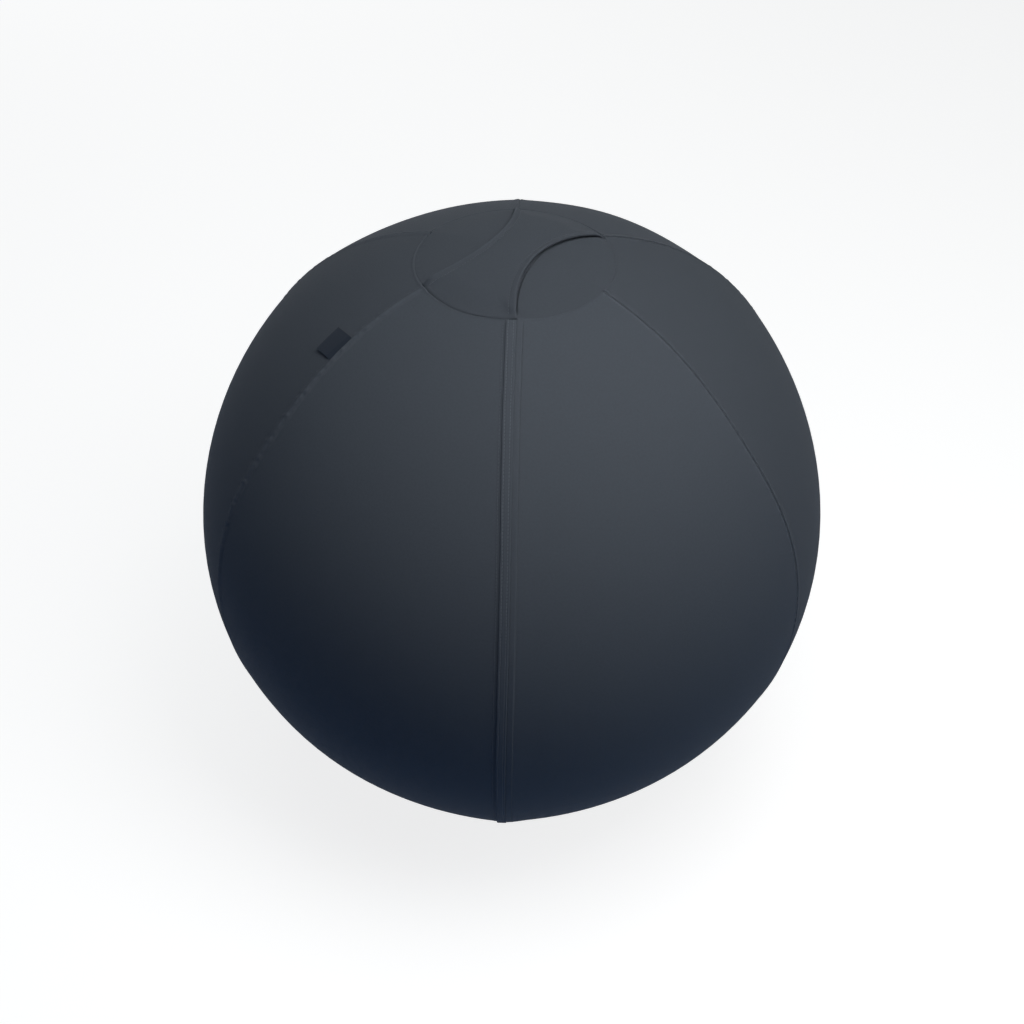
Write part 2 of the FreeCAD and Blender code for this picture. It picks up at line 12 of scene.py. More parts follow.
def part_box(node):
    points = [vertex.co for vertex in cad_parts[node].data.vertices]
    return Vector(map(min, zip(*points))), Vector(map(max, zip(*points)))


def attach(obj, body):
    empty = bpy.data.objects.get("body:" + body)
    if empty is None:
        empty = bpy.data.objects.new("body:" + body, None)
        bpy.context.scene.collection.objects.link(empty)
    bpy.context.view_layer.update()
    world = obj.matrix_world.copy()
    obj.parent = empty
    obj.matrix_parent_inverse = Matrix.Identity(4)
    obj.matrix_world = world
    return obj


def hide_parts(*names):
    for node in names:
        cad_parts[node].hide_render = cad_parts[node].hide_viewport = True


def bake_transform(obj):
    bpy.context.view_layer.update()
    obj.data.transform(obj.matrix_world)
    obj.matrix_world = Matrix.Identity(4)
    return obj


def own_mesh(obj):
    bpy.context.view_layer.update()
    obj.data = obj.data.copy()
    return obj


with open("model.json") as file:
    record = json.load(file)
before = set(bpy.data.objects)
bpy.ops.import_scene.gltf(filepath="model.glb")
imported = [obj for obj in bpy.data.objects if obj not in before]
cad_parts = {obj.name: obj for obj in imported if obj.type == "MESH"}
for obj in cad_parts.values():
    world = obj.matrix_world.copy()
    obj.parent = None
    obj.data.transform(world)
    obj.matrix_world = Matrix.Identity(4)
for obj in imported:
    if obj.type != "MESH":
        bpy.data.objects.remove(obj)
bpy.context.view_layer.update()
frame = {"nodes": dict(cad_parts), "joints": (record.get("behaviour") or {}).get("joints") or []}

bl_info = {
    "name": "Sitting ball",
    "version": (1, 0, 0),
    "blender": (4, 5, 0),
    "location": "3D View > Sidebar > Sitting ball",
    "description": "Builds the cloth cover, handle, zip and inside of a sitting ball",
    "category": "Add Mesh",
}

JOINTS = {joint["name"]: joint for joint in frame["joints"]}
CENTRE = Vector(JOINTS["zip_slide"]["pos_m"])
COVER_RADIUS = round(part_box("panel_right")[1].x, 3)
RIM_RADIUS = round(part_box("top_panel")[1].x, 3)
PANEL_TURN = math.radians(60)

# The six panels from the zip to the right, round the back, to the zip again.
PANELS = ("front_right", "right", "back_right", "back_left", "left", "front_left")
SEAMS = len(PANELS)


def length(name, description, default):
    """A size in metres."""
    return FloatProperty(name=name, description=description, default=default,
                         unit="LENGTH", precision=5)


def share(name, description, default):
    """A number from 0 to 1."""
    return FloatProperty(name=name, description=description, default=default,
                         min=0, max=1, subtype="FACTOR")


def colour(name, description, default):
    """A linear colour."""
    return FloatVectorProperty(name=name, description=description, default=default,
                               size=3, min=0, max=1, subtype="COLOR")


def angle(name, description, degrees):
    """An angle, given in degrees."""
    return FloatProperty(name=name, description=description, default=math.radians(degrees),
                         subtype="ANGLE")


def six_lengths(name, description, default):
    """A size in metres for each of the six seams."""
    return FloatVectorProperty(name=name, description=description, default=default,
                               size=SEAMS, unit="LENGTH", precision=5)


def six_numbers(name, description, default):
    """A plain number for each of the six seams or panels."""
    return FloatVectorProperty(name=name, description=description, default=default, size=SEAMS)


class CoverSizes(bpy.types.PropertyGroup):
    """Shape of the six upright panels and the two round ones."""

    radius: length("Radius", "Cover from the ball's centre", COVER_RADIUS)
    rim_radius: length("Rim radius", "Round panels at top and base", RIM_RADIUS)
    ridges: six_lengths("Upper ridges", "Height of each seam over the panels beside it, above",
                        (0.0050, 0.0075, 0.0066, 0.0024, 0.0046, 0.0075))
    low_ridges: six_lengths("Lower ridges", "Height of each seam over the panels beside it, below",
                            (0.0040, 0.0028, 0.0040, 0.0030, 0.0030, 0.0014))
    bows: six_numbers("Seam bows", "Turn of each seam to the right where it bows most, in radians",
                      (0.0060, -0.050, -0.075, 0, 0.075, 0.048))
    bow_places: six_numbers("Bow places", "Angle down from the top at which each seam bows most",
                            (1.10, 0.80, 1.05, 0.62, 1.05, 0.80))
    seam_depths: six_lengths("Seam depths", "Groove along each seam",
                             (0, 0.0004, 0.0004, 0.0003, 0.0004, 0.0003))
    allowances: six_lengths("Allowances", "Turned cloth under the right side of each seam",
                            (0, 0.0004, 0.0003, 0.0003, 0.0003, 0.0011))
    # Painted highlight: a lighter cloth colour on the raised fold beside each seam, where it catches the
    # light.
    painted_fold_highlight: six_numbers("Painted fold highlights", "Lighter tone of the folds along each seam",
                      (0, 0.24, 0.12, 0.10, 0.12, 0.18))
    panel_drop: length("Panel drop", "Middle of the panels under the radius", 0.0006)
    sag: length("Sag", "Air pressed from the top half to the lower half", 0.0012)
    bulge: length("Bulge", "Slack cloth in the middle of the right back panel", 0.0045)
    rim_share: share("Ridge at the rims", "Part of the seam ridges left at the rims", 0.35)
    seam_width: length("Seam width", "Half width of the seams' grooves", 0.0006)
    allowance_width: length("Allowance width", "Turned cloth beside a seam", 0.0052)
    pucker: length("Pucker", "Unevenness of the cloth along a seam", 0.00022)
    fold: length("Fold", "Cloth pressed up beside a seam", 0.0002)
    turned_fold: length("Turned fold", "The same on the side of the turned cloth", 0.0003)
    rim_depth: length("Rim depth", "Groove round the round panels", 0.0002)
    rim_fold: length("Rim fold", "Upright panels pressed up beside the rims", 0.0004)
    strap_depth: length("Strap seam", "Extra groove at the handle's ends", 0.0020)
    left_edge: length("Left edge", "Left front panel from the zip's middle", 0.0034)
    right_edge: length("Right edge", "Right front panel from the zip's middle", 0.0050)
    right_rise: length("Right rise", "Right front panel beside the lap", 0.0010)
    hem: length("Hem", "Turned edge of the left front panel", 0.0040)
    cloth: length("Cloth", "Thickness of the turned edges", 0.0012)
    row_step: length("Row step", "Mesh rows along a panel", 0.0016)


class HandleSizes(bpy.types.PropertyGroup):
    """Shape of the waisted strap on the top panel."""

    waist: length("Waist", "Width at the middle", 0.050)
    half_turn: angle("Half turn", "Half of the rim that each end takes", 32.5)
    gap: length("Gap", "Slit under the middle", 0.0015)
    seat: length("Seat", "Slit under the ends", 0.0003)
    thickness: length("Thickness", "Face and lining", 0.0026)
    lining: length("Lining", "Lining by itself", 0.0008)
    hem: length("Hem", "Turned edge up to its stitches", 0.0060)
    cup: length("Cup", "Rise of the edges", 0.0014)
    cup_width: length("Cup width", "Strip that rises to the edge", 0.0028)
    ramp: length("Ramp", "Run over which the ends come down to the rim", 0.0280)
    corner_ramp: length("Corner ramp", "The same at the corners", 0.0070)
    swell: length("Swell", "Top panel's cloth pressed up beside the strap", 0.0020)
    edge_round: length("Edge rounding", "Roundness of the folded edge", 0.0009)
    # Painted highlight: a lighter colour on the handle's folded edges, where they catch the light.
    painted_fold_highlight: share("Painted fold highlights", "Lighter tone of the folded edges", 0.15)


class LapSizes(bpy.types.PropertyGroup):
    """Cross section of the folded strip over the zip."""

    free_edge: length("Free edge", "Folded edge from the zip's middle", -0.0047)
    wander: length("Wander", "Lean of the free edge from top to base", 0.0006)
    sewn: length("Sewn edge", "Sewn edge from the zip's middle", 0.0048)
    foot: length("Foot", "Sewn foot under the right panel", 0.0120)
    rise: length("Rise", "Top of the lap over the panels", 0.0014)
    hollow: length("Hollow", "Underside of the lap over the panels", 0.0006)


class LabelSizes(bpy.types.PropertyGroup):
    """Folded band in the left front seam."""

    half_length: length("Half length", "Half of the band along the seam", 0.014)
    shift: length("Shift", "Band's middle up from its pin", 0.0006)
    reach: length("Reach", "Fold of the band from the seam", 0.021)
    tuck: length("Tuck", "Band sewn in behind the seam", 0.006)
    lean: angle("Lean", "Turn of the band on the cloth", 8)
    seat: length("Seat", "Slit under the band", 0.0004)
    lift: length("Lift", "Rise of the fold off the cloth", 0.0010)
    thickness: length("Thickness", "Both layers of the band", 0.00085)
    ribs: length("Ribs", "Ribs of the woven band", 0.0007)


class ZipSizes(bpy.types.PropertyGroup):
    """Tape and teeth under the lap."""

    tape_depth: length("Tape depth", "Tape's underside under the cover's radius", 0.0020)
    tape: length("Tape", "Thickness of the tape", 0.0005)
    tape_pitch: length("Tape ribs", "Ribs of the woven tape", 0.0009)
    tooth_pitch: length("Tooth pitch", "From tooth to tooth", 0.0015)
    tooth_depth: length("Tooth depth", "Middle of the teeth under the cover's radius", 0.0030)
    tooth_width: length("Tooth width", "Half of a tooth along the zip", 0.00052)
    tooth_height: length("Tooth height", "Half of a tooth's height", 0.00088)
    start: length("Start", "First tooth from the top rim", 0.0655)
    run: length("Run", "Length of the teeth along the zip", 0.650)


class StitchSizes(bpy.types.PropertyGroup):
    """Sewing thread."""

    stitch: length("Stitch", "Length of one stitch", 0.0027)
    space: length("Space", "Between two stitches", 0.0006)
    thread: length("Thread", "Radius of the thread", 0.00024)


class Finish(bpy.types.PropertyGroup):
    """Colours and surfaces."""

    cover: colour("Cover", "Cloth of the cover", (0.0705, 0.080, 0.0955))
    # Painted light and shade: the cloth's colour made lighter on the two front panels and darker on the
    # others.
    panel_painted_light: six_numbers("Painted light per panel", "Tone of each upright panel, with painted light and shade",
                      (1.04, 0.93, 0.93, 0.95, 0.95, 1.02))
    # Painted shade: the colour of the top panel, the handle and the base panel made darker.
    top_painted_shade: share("Top painted shade", "Tone of the top panel and the handle", 0.93)
    # Painted highlight: the raised lap's colour made lighter.
    lap_painted_highlight: FloatProperty(name="Lap painted highlight", description="Tone of the lap", default=1.08)
    thread: colour("Thread", "Sewing thread", (0.095, 0.106, 0.124))
    lap_thread: colour("Lap thread", "Lighter thread on the lap", (0.125, 0.138, 0.158))
    band: colour("Label", "Woven label band", (0.022, 0.029, 0.042))
    tape: colour("Tape", "Zip tape", (0.022, 0.025, 0.031))
    teeth: colour("Teeth", "Moulded zip teeth", (0.030, 0.032, 0.037))
    metal: colour("Metal", "Plated slider, pull and stops", (0.36, 0.36, 0.37))
    vinyl: colour("Vinyl", "Wall of the inflated ball", (0.42, 0.44, 0.47))
    plastic: colour("Valve", "Moulded valve", (0.72, 0.73, 0.74))
    pouch: colour("Pouch", "Cloth round the weight", (0.050, 0.053, 0.060))
    yarn: length("Yarn pitch", "From yarn to yarn in the cover cloth", 0.00055)
    sheen: share("Sheen", "Soft glow of the fibres at grazing angles", 0.03)


class Stage(bpy.types.PropertyGroup):
    """Camera, floor and light."""

    azimuth: angle("Azimuth", "Camera to the right of the zip", 1.46)
    elevation: angle("Elevation", "Camera over the horizon", 41.28)
    roll: angle("Roll", "Lean of the camera", -0.69)
    distance: length("Distance", "Camera from the ball's centre", 1.732)
    lens: FloatProperty(name="Lens", description="Focal length on a 36 mm sensor",
                        default=56.87, unit="CAMERA")
    shift: FloatProperty(name="Shift", description="Picture moved up, as a share of its height",
                         default=-3.4 / 1024, precision=5)
    floor_size: length("Floor", "Side of the floor", 30.0)
    floor_paint: colour("Floor paint", "Floor as the camera sees it", (0.45, 0.45, 0.45))
    floor_glow: share("Floor glow", "Light added to the floor as the camera sees it", 0.82)
    floor_bounce: colour("Floor bounce", "Floor as it lights the ball", (0.17, 0.38, 0.77))
    ambient: colour("Ambient", "Even light on the ball", (0.004, 0.008, 0.020))


SETTINGS = {
    "ball_cover": CoverSizes,
    "ball_handle": HandleSizes,
    "ball_lap": LapSizes,
    "ball_label": LabelSizes,
    "ball_zip": ZipSizes,
    "ball_stitch": StitchSizes,
    "ball_finish": Finish,
    "ball_stage": Stage,
}


# Shapes

# Wavelengths of the cloth's unevenness along its edges, and of the painted highlight beside the seams,
# in metres.
WAVES = {
    "groove": (0.0093, 0.0152),
    "pucker": (0.0071, 0.0098, 0.0157),
    "allowance": (0.0110, 0.0290),
    "painted_fold_highlight": (0.0052, 0.0066, 0.0131),
    "rim": (0.0079, 0.0103),
    "strap": (0.0068, 0.0094, 0.0150),
    "lap": (0.0052, 0.0067, 0.0121),
    "lap_edge": (0.031, 0.083, 0.190),
}

# Polar angles between which the upper ridges turn into the lower ones.
LOWER_HALF = (1.1, 2.0)

# Distances down from the top rim between which the cloth goes from slack to tight, in metres.
TIGHTENING = (0.26, 0.44)

# Cloth laid under the next panel at a seam, in metres.
TUCK = 0.0012

# Distances from a seam at which the mesh has its rows and columns, in metres.
NEAR = np.array((0, 0.25, 0.5, 0.75, 1.1, 1.5, 2.0, 2.6, 3.3, 4.1, 4.8, 5.4, 6.0, 6.8, 8.4,
                 11, 15, 20, 27, 36)) / 1000
HEM = np.array((0.6, 1.2, 2.2, 3.0, 3.6, 4.0, 4.4, 5.0, 6.0, 7.2, 8.6, 10.5, 13, 17, 22, 28)) / 1000


def smooth(value, low, high):
    """0 below low, 1 above high and a soft step between them."""
    t = np.clip((value - low) / (high - low), 0, 1)
    return t * t * (3 - 2 * t)


def hump(value, middle, width):
    """1 at the middle, fading to both sides."""
    return np.exp(-((value - middle) / width) ** 2)


def rounding(off, radius):
    """0 at an edge and 1 from the radius inwards, along a quarter circle."""
    return np.sqrt(1 - (1 - np.clip(off / radius, 0, 1)) ** 2)


def ripple(along, kind, seed):
    """Lasting unevenness along a line: sines with unrelated wavelengths."""
    total = np.zeros_like(along)
    for order, wave in enumerate(WAVES[kind]):
        total = total + np.sin(2 * math.pi * along / wave + seed * (1.7 + 2.4 * order))
    return total / len(WAVES[kind])


def on_ball(radius, polar, azimuth):
    """Points at a radius from the ball's centre, azimuth from the zip to the right."""
    flat = radius * np.sin(polar)
    return np.stack([flat * np.sin(azimuth), -flat * np.cos(azimuth),
                     CENTRE.z + radius * np.cos(polar)], axis=-1)


def on_strip(radius, polar, across):
    """Points of a strip along the zip, at a distance across from its middle."""
    inward = np.sqrt(radius ** 2 - across ** 2)
    return np.stack([across + 0 * polar, -inward * np.sin(polar),
                     CENTRE.z + inward * np.cos(polar)], axis=-1)


def rim_angle(cover):
    """Polar angle of the top panel's rim."""
    return math.asin(cover.rim_radius / cover.radius)


def rim_to_rim(cover):
    """Length of an upright panel from the top rim to the base rim."""
    return cover.radius * (math.pi - 2 * rim_angle(cover))


def seam_azimuth(cover, seam, polar):
    """Azimuth of a seam, which bows to one side around its own place."""
    place = cover.bow_places[seam % SEAMS]
    spread = 0.42 * place
    return seam * PANEL_TURN + cover.bows[seam % SEAMS] * hump(polar, place, spread)


def panel_lift(cover, polar, azimuth):
    """Height of the taut cloth over the radius at an azimuth."""
    turn = np.mod(azimuth, 2 * math.pi) / PANEL_TURN
    return cloth_lift(cover, polar, np.floor(turn).astype(int) % SEAMS, turn - np.floor(turn))


def cloth_lift(cover, polar, left, part):
    """Height of the taut cloth over the radius: ridges at the seams, flatter between.
    Left is the number of the seam on the left, part the share of the panel's width."""
    upper, lower = np.array(cover.ridges), np.array(cover.low_ridges)
    below = smooth(polar, *LOWER_HALF)

    def ridge(seam, away):
        """Height of a seam's ridge, which ends at the middle of the panel."""
        height = upper[seam] * (1 - below) + lower[seam] * below
        return height * np.clip(1 - 2 * away, 0, 1) ** 2

    across = ridge(left, part) + ridge((left + 1) % SEAMS, 1 - part)
    near = np.minimum(polar, math.pi - polar)
    rim = rim_angle(cover)
    fade = 0.5
    outside = cover.rim_share + (1 - cover.rim_share) * smooth(near, rim, rim + fade)
    inside = cover.rim_share * (np.sin(near) / math.sin(rim)) ** 2
    lift = (across - cover.panel_drop) * np.where(near < rim, inside, outside)
    bulged = left == PANELS.index("back_right")
    bulge_place, bulge_spread = 0.8, 0.3
    bulge = cover.bulge * np.sin(math.pi * part) ** 2 * hump(polar, bulge_place, bulge_spread)
    return lift - cover.sag * np.cos(polar) + bulged * bulge


def slack(along):
    """1 on the upper half of a panel, less where the ball presses the cloth out below."""
    pressed = 0.85
    return 1 - pressed * smooth(along, *TIGHTENING)


def seam_relief(cover, seam, off, along, turned):
    """Groove, turned cloth and puckers at a distance off a seam."""
    seam = seam % SEAMS
    fold_place, fold_width = 0.0017, 0.0010
    pucker_start, pucker_place = 0.0018, 0.0026
    wander, step_in, step_out = 0.0005, 0.0012, 0.0016
    uneven = 0.85 + 0.35 * ripple(along, "groove", seam + 9)
    relief = -cover.seam_depths[seam] * uneven * hump(off, 0, cover.seam_width)
    drawn = cover.pucker * (1 + 1300 * cover.allowances[seam]) * slack(along)
    beside = hump(off, pucker_place, pucker_place) * smooth(off, 0, pucker_start)
    relief = relief + drawn * ripple(along, "pucker", seam + 2 * turned) * beside
    fold = cover.turned_fold if turned else cover.fold
    relief = relief + fold * hump(off, fold_place, fold_width)
    if turned:
        width = cover.allowance_width + wander * ripple(along, "allowance", seam + 3)
        turned_cloth = 1 - smooth(off, width - step_in, width + step_out)
        relief = relief + cover.allowances[seam] * slack(along) * turned_cloth
    return relief


def seam_painted_highlight(cover, seam, off, along, turned):
    """Painted highlight at a distance off a seam: the cloth's colour made lighter along the fold that
    the stitches pull up, where light would catch it.
    """
    fold_place, fold_width = 0.0023, 0.0014
    wave = ripple(along, "painted_fold_highlight", seam + 2 * turned + 1)
    between = 0.25
    highlight_share = between + (1 - between) * smooth(wave, -0.25, 0.55)
    return cover.painted_fold_highlight[seam % SEAMS] * highlight_share * slack(along) * hump(off, fold_place, fold_width)


def at_strap(azimuth):
    """1 at the corners of the handle's ends, less between them, 0 along the rest of the rim."""
    half = bpy.context.scene.ball_handle.half_turn
    turn = np.abs(np.mod(azimuth + PANEL_TURN / 2 + math.pi / 2, math.pi) - math.pi / 2)
    between = 0.55
    corner = smooth(turn, half - 0.25, half - 0.02)
    outside = smooth(turn, half - 0.01, half + 0.02)
    return (between + (1 - between) * corner) * (1 - outside)


def rim_relief(cover, off, azimuth, proud, strap):
    """Groove and raised edge at a distance off the rim of a round panel."""
    fold_place, fold_width = 0.0020, 0.0012
    pucker_place, pucker_width = 0.003, 0.004
    depth = cover.rim_depth + cover.strap_depth * strap
    relief = -depth * hump(off, 0, cover.seam_width * (1 + 0.4 * strap))
    wave = ripple(azimuth * cover.rim_radius, "rim", 5)
    relief = relief + 0.5 * cover.pucker * wave * hump(off, pucker_place, pucker_width)
    return relief + proud * hump(off, fold_place, fold_width)


def edge_columns(edge, thick):
    """Distances off the zip's middle, and depths under the surface, of the columns along one
    turned edge, which is so thick."""
    fold = np.array((6.0, 1.0, 0.3, 0.0, 0.1, 0.3)) / 1000
    sink = np.array((1.0, 1.0, 0.85, 0.5, 0.2, 0.05)) * thick
    return edge + np.concatenate([fold, HEM]), np.concatenate([sink, np.zeros_like(HEM)])


def panel_grid(cover, index):
    """Points, cloth coordinates and tone, with the painted highlights beside the seams, of one upright
    panel, from rim to rim.
    """
    run = rim_to_rim(cover)
    count = round((run - 2 * NEAR[-1]) / cover.row_step)
    middle = np.linspace(NEAR[-1], run - NEAR[-1], count)[1:-1]
    along = np.concatenate([NEAR, middle, run - NEAR[::-1]])[:, None]
    polar = rim_angle(cover) + along / cover.radius
    girth = cover.radius * np.sin(polar)
    start = seam_azimuth(cover, index, polar)
    width = girth * (seam_azimuth(cover, index + 1, polar) - start)
    first, last = index == 0, index == SEAMS - 1
    left, left_sink = NEAR, np.zeros_like(NEAR)
    right, right_sink = np.append(-TUCK, NEAR), np.append(TUCK, np.zeros_like(NEAR))
    if first:
        covered = 0.30 * cover.cloth
        left, left_sink = edge_columns(cover.right_edge, covered)
    if last:
        right, right_sink = edge_columns(cover.left_edge, cover.cloth)
    inner = np.linspace(0, 1, 18)[None, 1:-1]
    off = np.concatenate([left + 0 * along, left[-1] + (width - right[-1] - left[-1]) * inner,
                          width - right[::-1]], axis=1)
    sink = np.concatenate([left_sink, 0 * inner[0], right_sink[::-1]])
    azimuth = start + off / girth
    lift = cloth_lift(cover, polar, index, off / width) - sink
    tone = 1 + 0 * lift
    if first:
        lift = lift + cover.right_rise * (1 - smooth(off, 0.006, 0.030))
    else:
        lift = lift + seam_relief(cover, index, off, along, True)
        # Painted highlight beside the seam on the turned side.
        tone = tone + seam_painted_highlight(cover, index, off, along, True)
    if last:
        hem_rise, groove = 0.0002, 0.0001
        edge = width - off - cover.left_edge
        turned_hem = 1 - smooth(edge, cover.hem - 0.0006, cover.hem + 0.0020)
        sewn = hump(edge, cover.hem, 0.0005)
        lift = lift + hem_rise * turned_hem - groove * sewn
    else:
        lift = lift + seam_relief(cover, index + 1, width - off, along, False)
        # Weaker painted highlight beside the seam on the plain side.
        plain_side_highlight = 0.7
        tone = tone + plain_side_highlight * seam_painted_highlight(cover, index + 1, width - off, along, False)
    lift = lift + rim_relief(cover, along, azimuth, cover.rim_fold, at_strap(azimuth))
    lift = lift + rim_relief(cover, run - along, azimuth, cover.rim_fold, 0)
    points = on_ball(cover.radius + lift, polar, azimuth)
    weave = np.stack([off - width / 2, along + 0 * off], axis=-1)
    return points, weave, tone


def base_grid(cover):
    """Points and cloth coordinates of the base panel, from its rim inwards."""
    rim = rim_angle(cover)
    reach = cover.radius * rim
    inner = np.linspace(NEAR[-1], reach, 24)[1:-1]
    pole_gap = 0.0002
    off = np.concatenate([[-TUCK], NEAR, inner, [reach - pole_gap]])[:, None]
    azimuth = np.linspace(0, 2 * math.pi, 289)[None, :]
    polar = math.pi - rim + off / cover.radius + 0 * azimuth
    lift = panel_lift(cover, polar, azimuth) + rim_relief(cover, off, azimuth, 0, 0)
    points = on_ball(cover.radius + lift - TUCK * (off < 0), polar, azimuth)
    points[..., 2] = np.maximum(points[..., 2], 0)
    return points, points[..., :2].copy()


def strap_half(cover, handle, part):
    """Half of the handle's width at a part of the way from its middle to its corners."""
    corner = cover.rim_radius * math.cos(handle.half_turn)
    hollow = cover.rim_radius * math.sin(handle.half_turn) - handle.waist / 2
    bend = (corner ** 2 + hollow ** 2) / (2 * hollow)
    return handle.waist / 2 + bend - np.sqrt(bend ** 2 - (part * corner) ** 2)


def on_top(cover, turn, along, across, height):
    """Points of the top panel in the handle's own directions, at a height over the cloth."""
    x = along * math.sin(turn) + across * math.cos(turn)
    y = across * math.sin(turn) - along * math.cos(turn)
    flat = np.hypot(x, y)
    polar = np.arcsin(np.minimum(flat / cover.radius, 1))
    radius = cover.radius + panel_lift(cover, polar, np.arctan2(x, -y))
    return np.stack([x, y, CENTRE.z + np.sqrt(radius ** 2 - flat ** 2) + height], axis=-1)


def crescent_grid(cover, handle, side):
    """Points and cloth coordinates of the top panel beside the handle, right or left."""
    sign = 1 if side == "right" else -1
    part = np.sin(np.linspace(-math.pi / 2, math.pi / 2, 150))[:, None]
    along = part * cover.rim_radius * math.cos(handle.half_turn)
    inner = strap_half(cover, handle, part)
    width = np.sqrt(cover.rim_radius ** 2 - along ** 2) - inner
    close = np.minimum(1, width / (2.2 * NEAR[-1]))
    tuck = np.array((-4.0, -2.0, -1.0, -0.5)) / 1000 + 0 * part
    middle = np.linspace(0, 1, 10)[None, 1:-1]
    near = NEAR * close
    flank = near[:, -1:]
    off = np.concatenate([tuck, near, flank + (width - 2 * flank) * middle,
                          width - near[:, ::-1], width + TUCK], axis=1)
    across = sign * (inner + off)
    turn = -PANEL_TURN / 2
    rim = cover.rim_radius - np.hypot(along, across)
    azimuth = turn + np.arctan2(across, along)
    swell = handle.swell if side == "right" else 0.3 * handle.swell
    narrow = smooth(width, 0.002, 0.020)
    pressed_up = smooth(off, 0.0004, 0.0024) * (1 - smooth(off, 0.008, 0.042))
    under_strap = 1 - smooth(off, -0.002, 0.0004)
    sunk = 0.0005
    height = swell * narrow * pressed_up * smooth(rim, 0, 0.008)
    height = height - TUCK * (rim < -TUCK / 8) - sunk * under_strap
    height = height + rim_relief(cover, np.maximum(rim, 0), azimuth, 0, at_strap(azimuth))
    points = on_top(cover, turn, along + 0 * across, across, height)
    weave = points[..., :2].copy()
    return (points, weave) if sign > 0 else (points[::-1], weave[::-1])


class Strap:
    """Layout of half of the handle, from its middle to the rim."""

    # Distances from a folded edge at which the mesh has its columns, in metres.
    EDGE = np.array((0, 0.15, 0.4, 0.8, 1.3, 2.0, 2.8, 3.8, 5.0, 5.6, 6.0, 6.4, 7.0, 8.0,
                     10.0, 12.5)) / 1000

    def __init__(self, cover, handle, side):
        self.cover = cover
        self.handle = handle
        reach = cover.rim_radius
        steps = np.concatenate([np.linspace(0, 1, 34)[:-1], 1 - NEAR[9::-1] / reach])
        self.rows = np.unique(np.round(steps, 6))[:, None]
        half = strap_half(cover, handle, self.rows)
        inner = np.linspace(-1, 1, 18)[None, 1:-1]
        flank = self.EDGE[-1]
        self.across = np.concatenate([-half + self.EDGE, (half - flank) * inner,
                                      half - self.EDGE[::-1]], axis=1)
        self.edge = half - np.abs(self.across)
        self.length = np.sqrt(reach ** 2 - self.across[-1:] ** 2)
        self.along = self.rows * self.length
        self.from_rim = (1 - self.rows) * self.length
        self.turn = -PANEL_TURN / 2 if side == "front" else math.pi - PANEL_TURN / 2
        self.side = side

    def placed(self, height, across=None):
        """Points at a height over the top panel's cloth."""
        across = self.across if across is None else across
        return on_top(self.cover, self.turn, self.along, across, height)

    def fall(self):
        """1 over most of the strap, less where its ends come down to the rim."""
        handle = self.handle
        inside = smooth(self.edge, 0.002, 0.016)
        ramp = handle.corner_ramp + (handle.ramp - handle.corner_ramp) * inside
        least = 0.10
        return least + (1 - least) * smooth(self.from_rim, 0, ramp)

    def cloth_below(self):
        """Points and cloth coordinates of the top panel under this half of the handle."""
        rim = self.cover.rim_radius - np.hypot(self.along, self.across)
        azimuth = self.turn + np.arctan2(self.across, self.along)
        relief = rim_relief(self.cover, np.maximum(rim, 0), azimuth, 0, 1)
        points = self.placed(relief)
        return points, points[..., :2].copy()

    def under(self):
        """Height of the lining's underside over the top panel."""
        handle = self.handle
        far = (self.along ** 2 + self.across ** 2) / self.cover.rim_radius ** 2
        rise = handle.seat + (handle.gap - handle.seat) * (1 - far ** 2)
        cup = handle.cup * hump(self.edge, 0, handle.cup_width)
        cup_at_ends = 0.3
        return rise * self.fall() + cup * (cup_at_ends + (1 - cup_at_ends) * self.fall())

    def top(self):
        """Height of the face over the lining's underside."""
        handle = self.handle
        seed = 1.3 if self.side == "front" else 2.9
        hem_rise, groove, pucker, end_groove = 0.0002, 0.00025, 0.00014, 0.0008
        hem = 1 - smooth(self.edge, handle.hem - 0.0006, handle.hem + 0.0002)
        sewn = hump(self.edge, handle.hem, 0.0006)
        wave = ripple(self.along, "strap", seed) * hump(self.edge, handle.hem - 0.003, 0.004)
        thick = handle.thickness + hem_rise * hem - groove * sewn + pucker * wave
        return thick * self.fall() - end_groove * hump(self.from_rim, 0, 0.0009)

    def rounded(self):
        """1 over most of the strap, 0 at the folded edge."""
        return rounding(self.edge, self.handle.edge_round)


def there_and_back(front, back):
    """Closed cross sections that run over the front and return along the back."""
    return np.concatenate([front, back[:, -2:0:-1]], axis=1)


def same_weave(weave):
    """Cloth coordinates of such cross sections, alike on both sides."""
    return np.concatenate([there_and_back(weave, weave), weave[:, :1]], axis=1)


def strap_loops(strap):
    """Closed cross sections and cloth coordinates of the handle's face with its hems, and its tone with
    a painted highlight along the folded edges.
    """
    handle = strap.handle
    least = 0.0002
    top = strap.top()
    low = handle.lining * smooth(strap.edge, handle.hem - 0.002, handle.hem - 0.001) * strap.fall()
    low = np.minimum(low, top - least)
    middle = (top + low) / 2
    face = strap.placed(strap.under() + middle + (top - middle) * strap.rounded())
    back = strap.placed(strap.under() + middle - (middle - low) * strap.rounded() - least)
    points = there_and_back(face, back)
    weave = np.stack([strap.across, strap.along], axis=-1)
    turned = weave[:, -2:0:-1].copy()
    turned[..., 0] = 2 * weave[:, -1:, 0] - turned[..., 0]
    closing = weave[:, :1].copy()
    closing[..., 0] = closing[..., 0] + 4 * weave[:, -1:, 0]
    # Painted highlight along the folded edges.
    fold = 1 + handle.painted_fold_highlight * hump(strap.edge, 0.0008, 0.0010) * strap.fall()
    return points, np.concatenate([weave, turned, closing], axis=1), there_and_back(fold, fold)


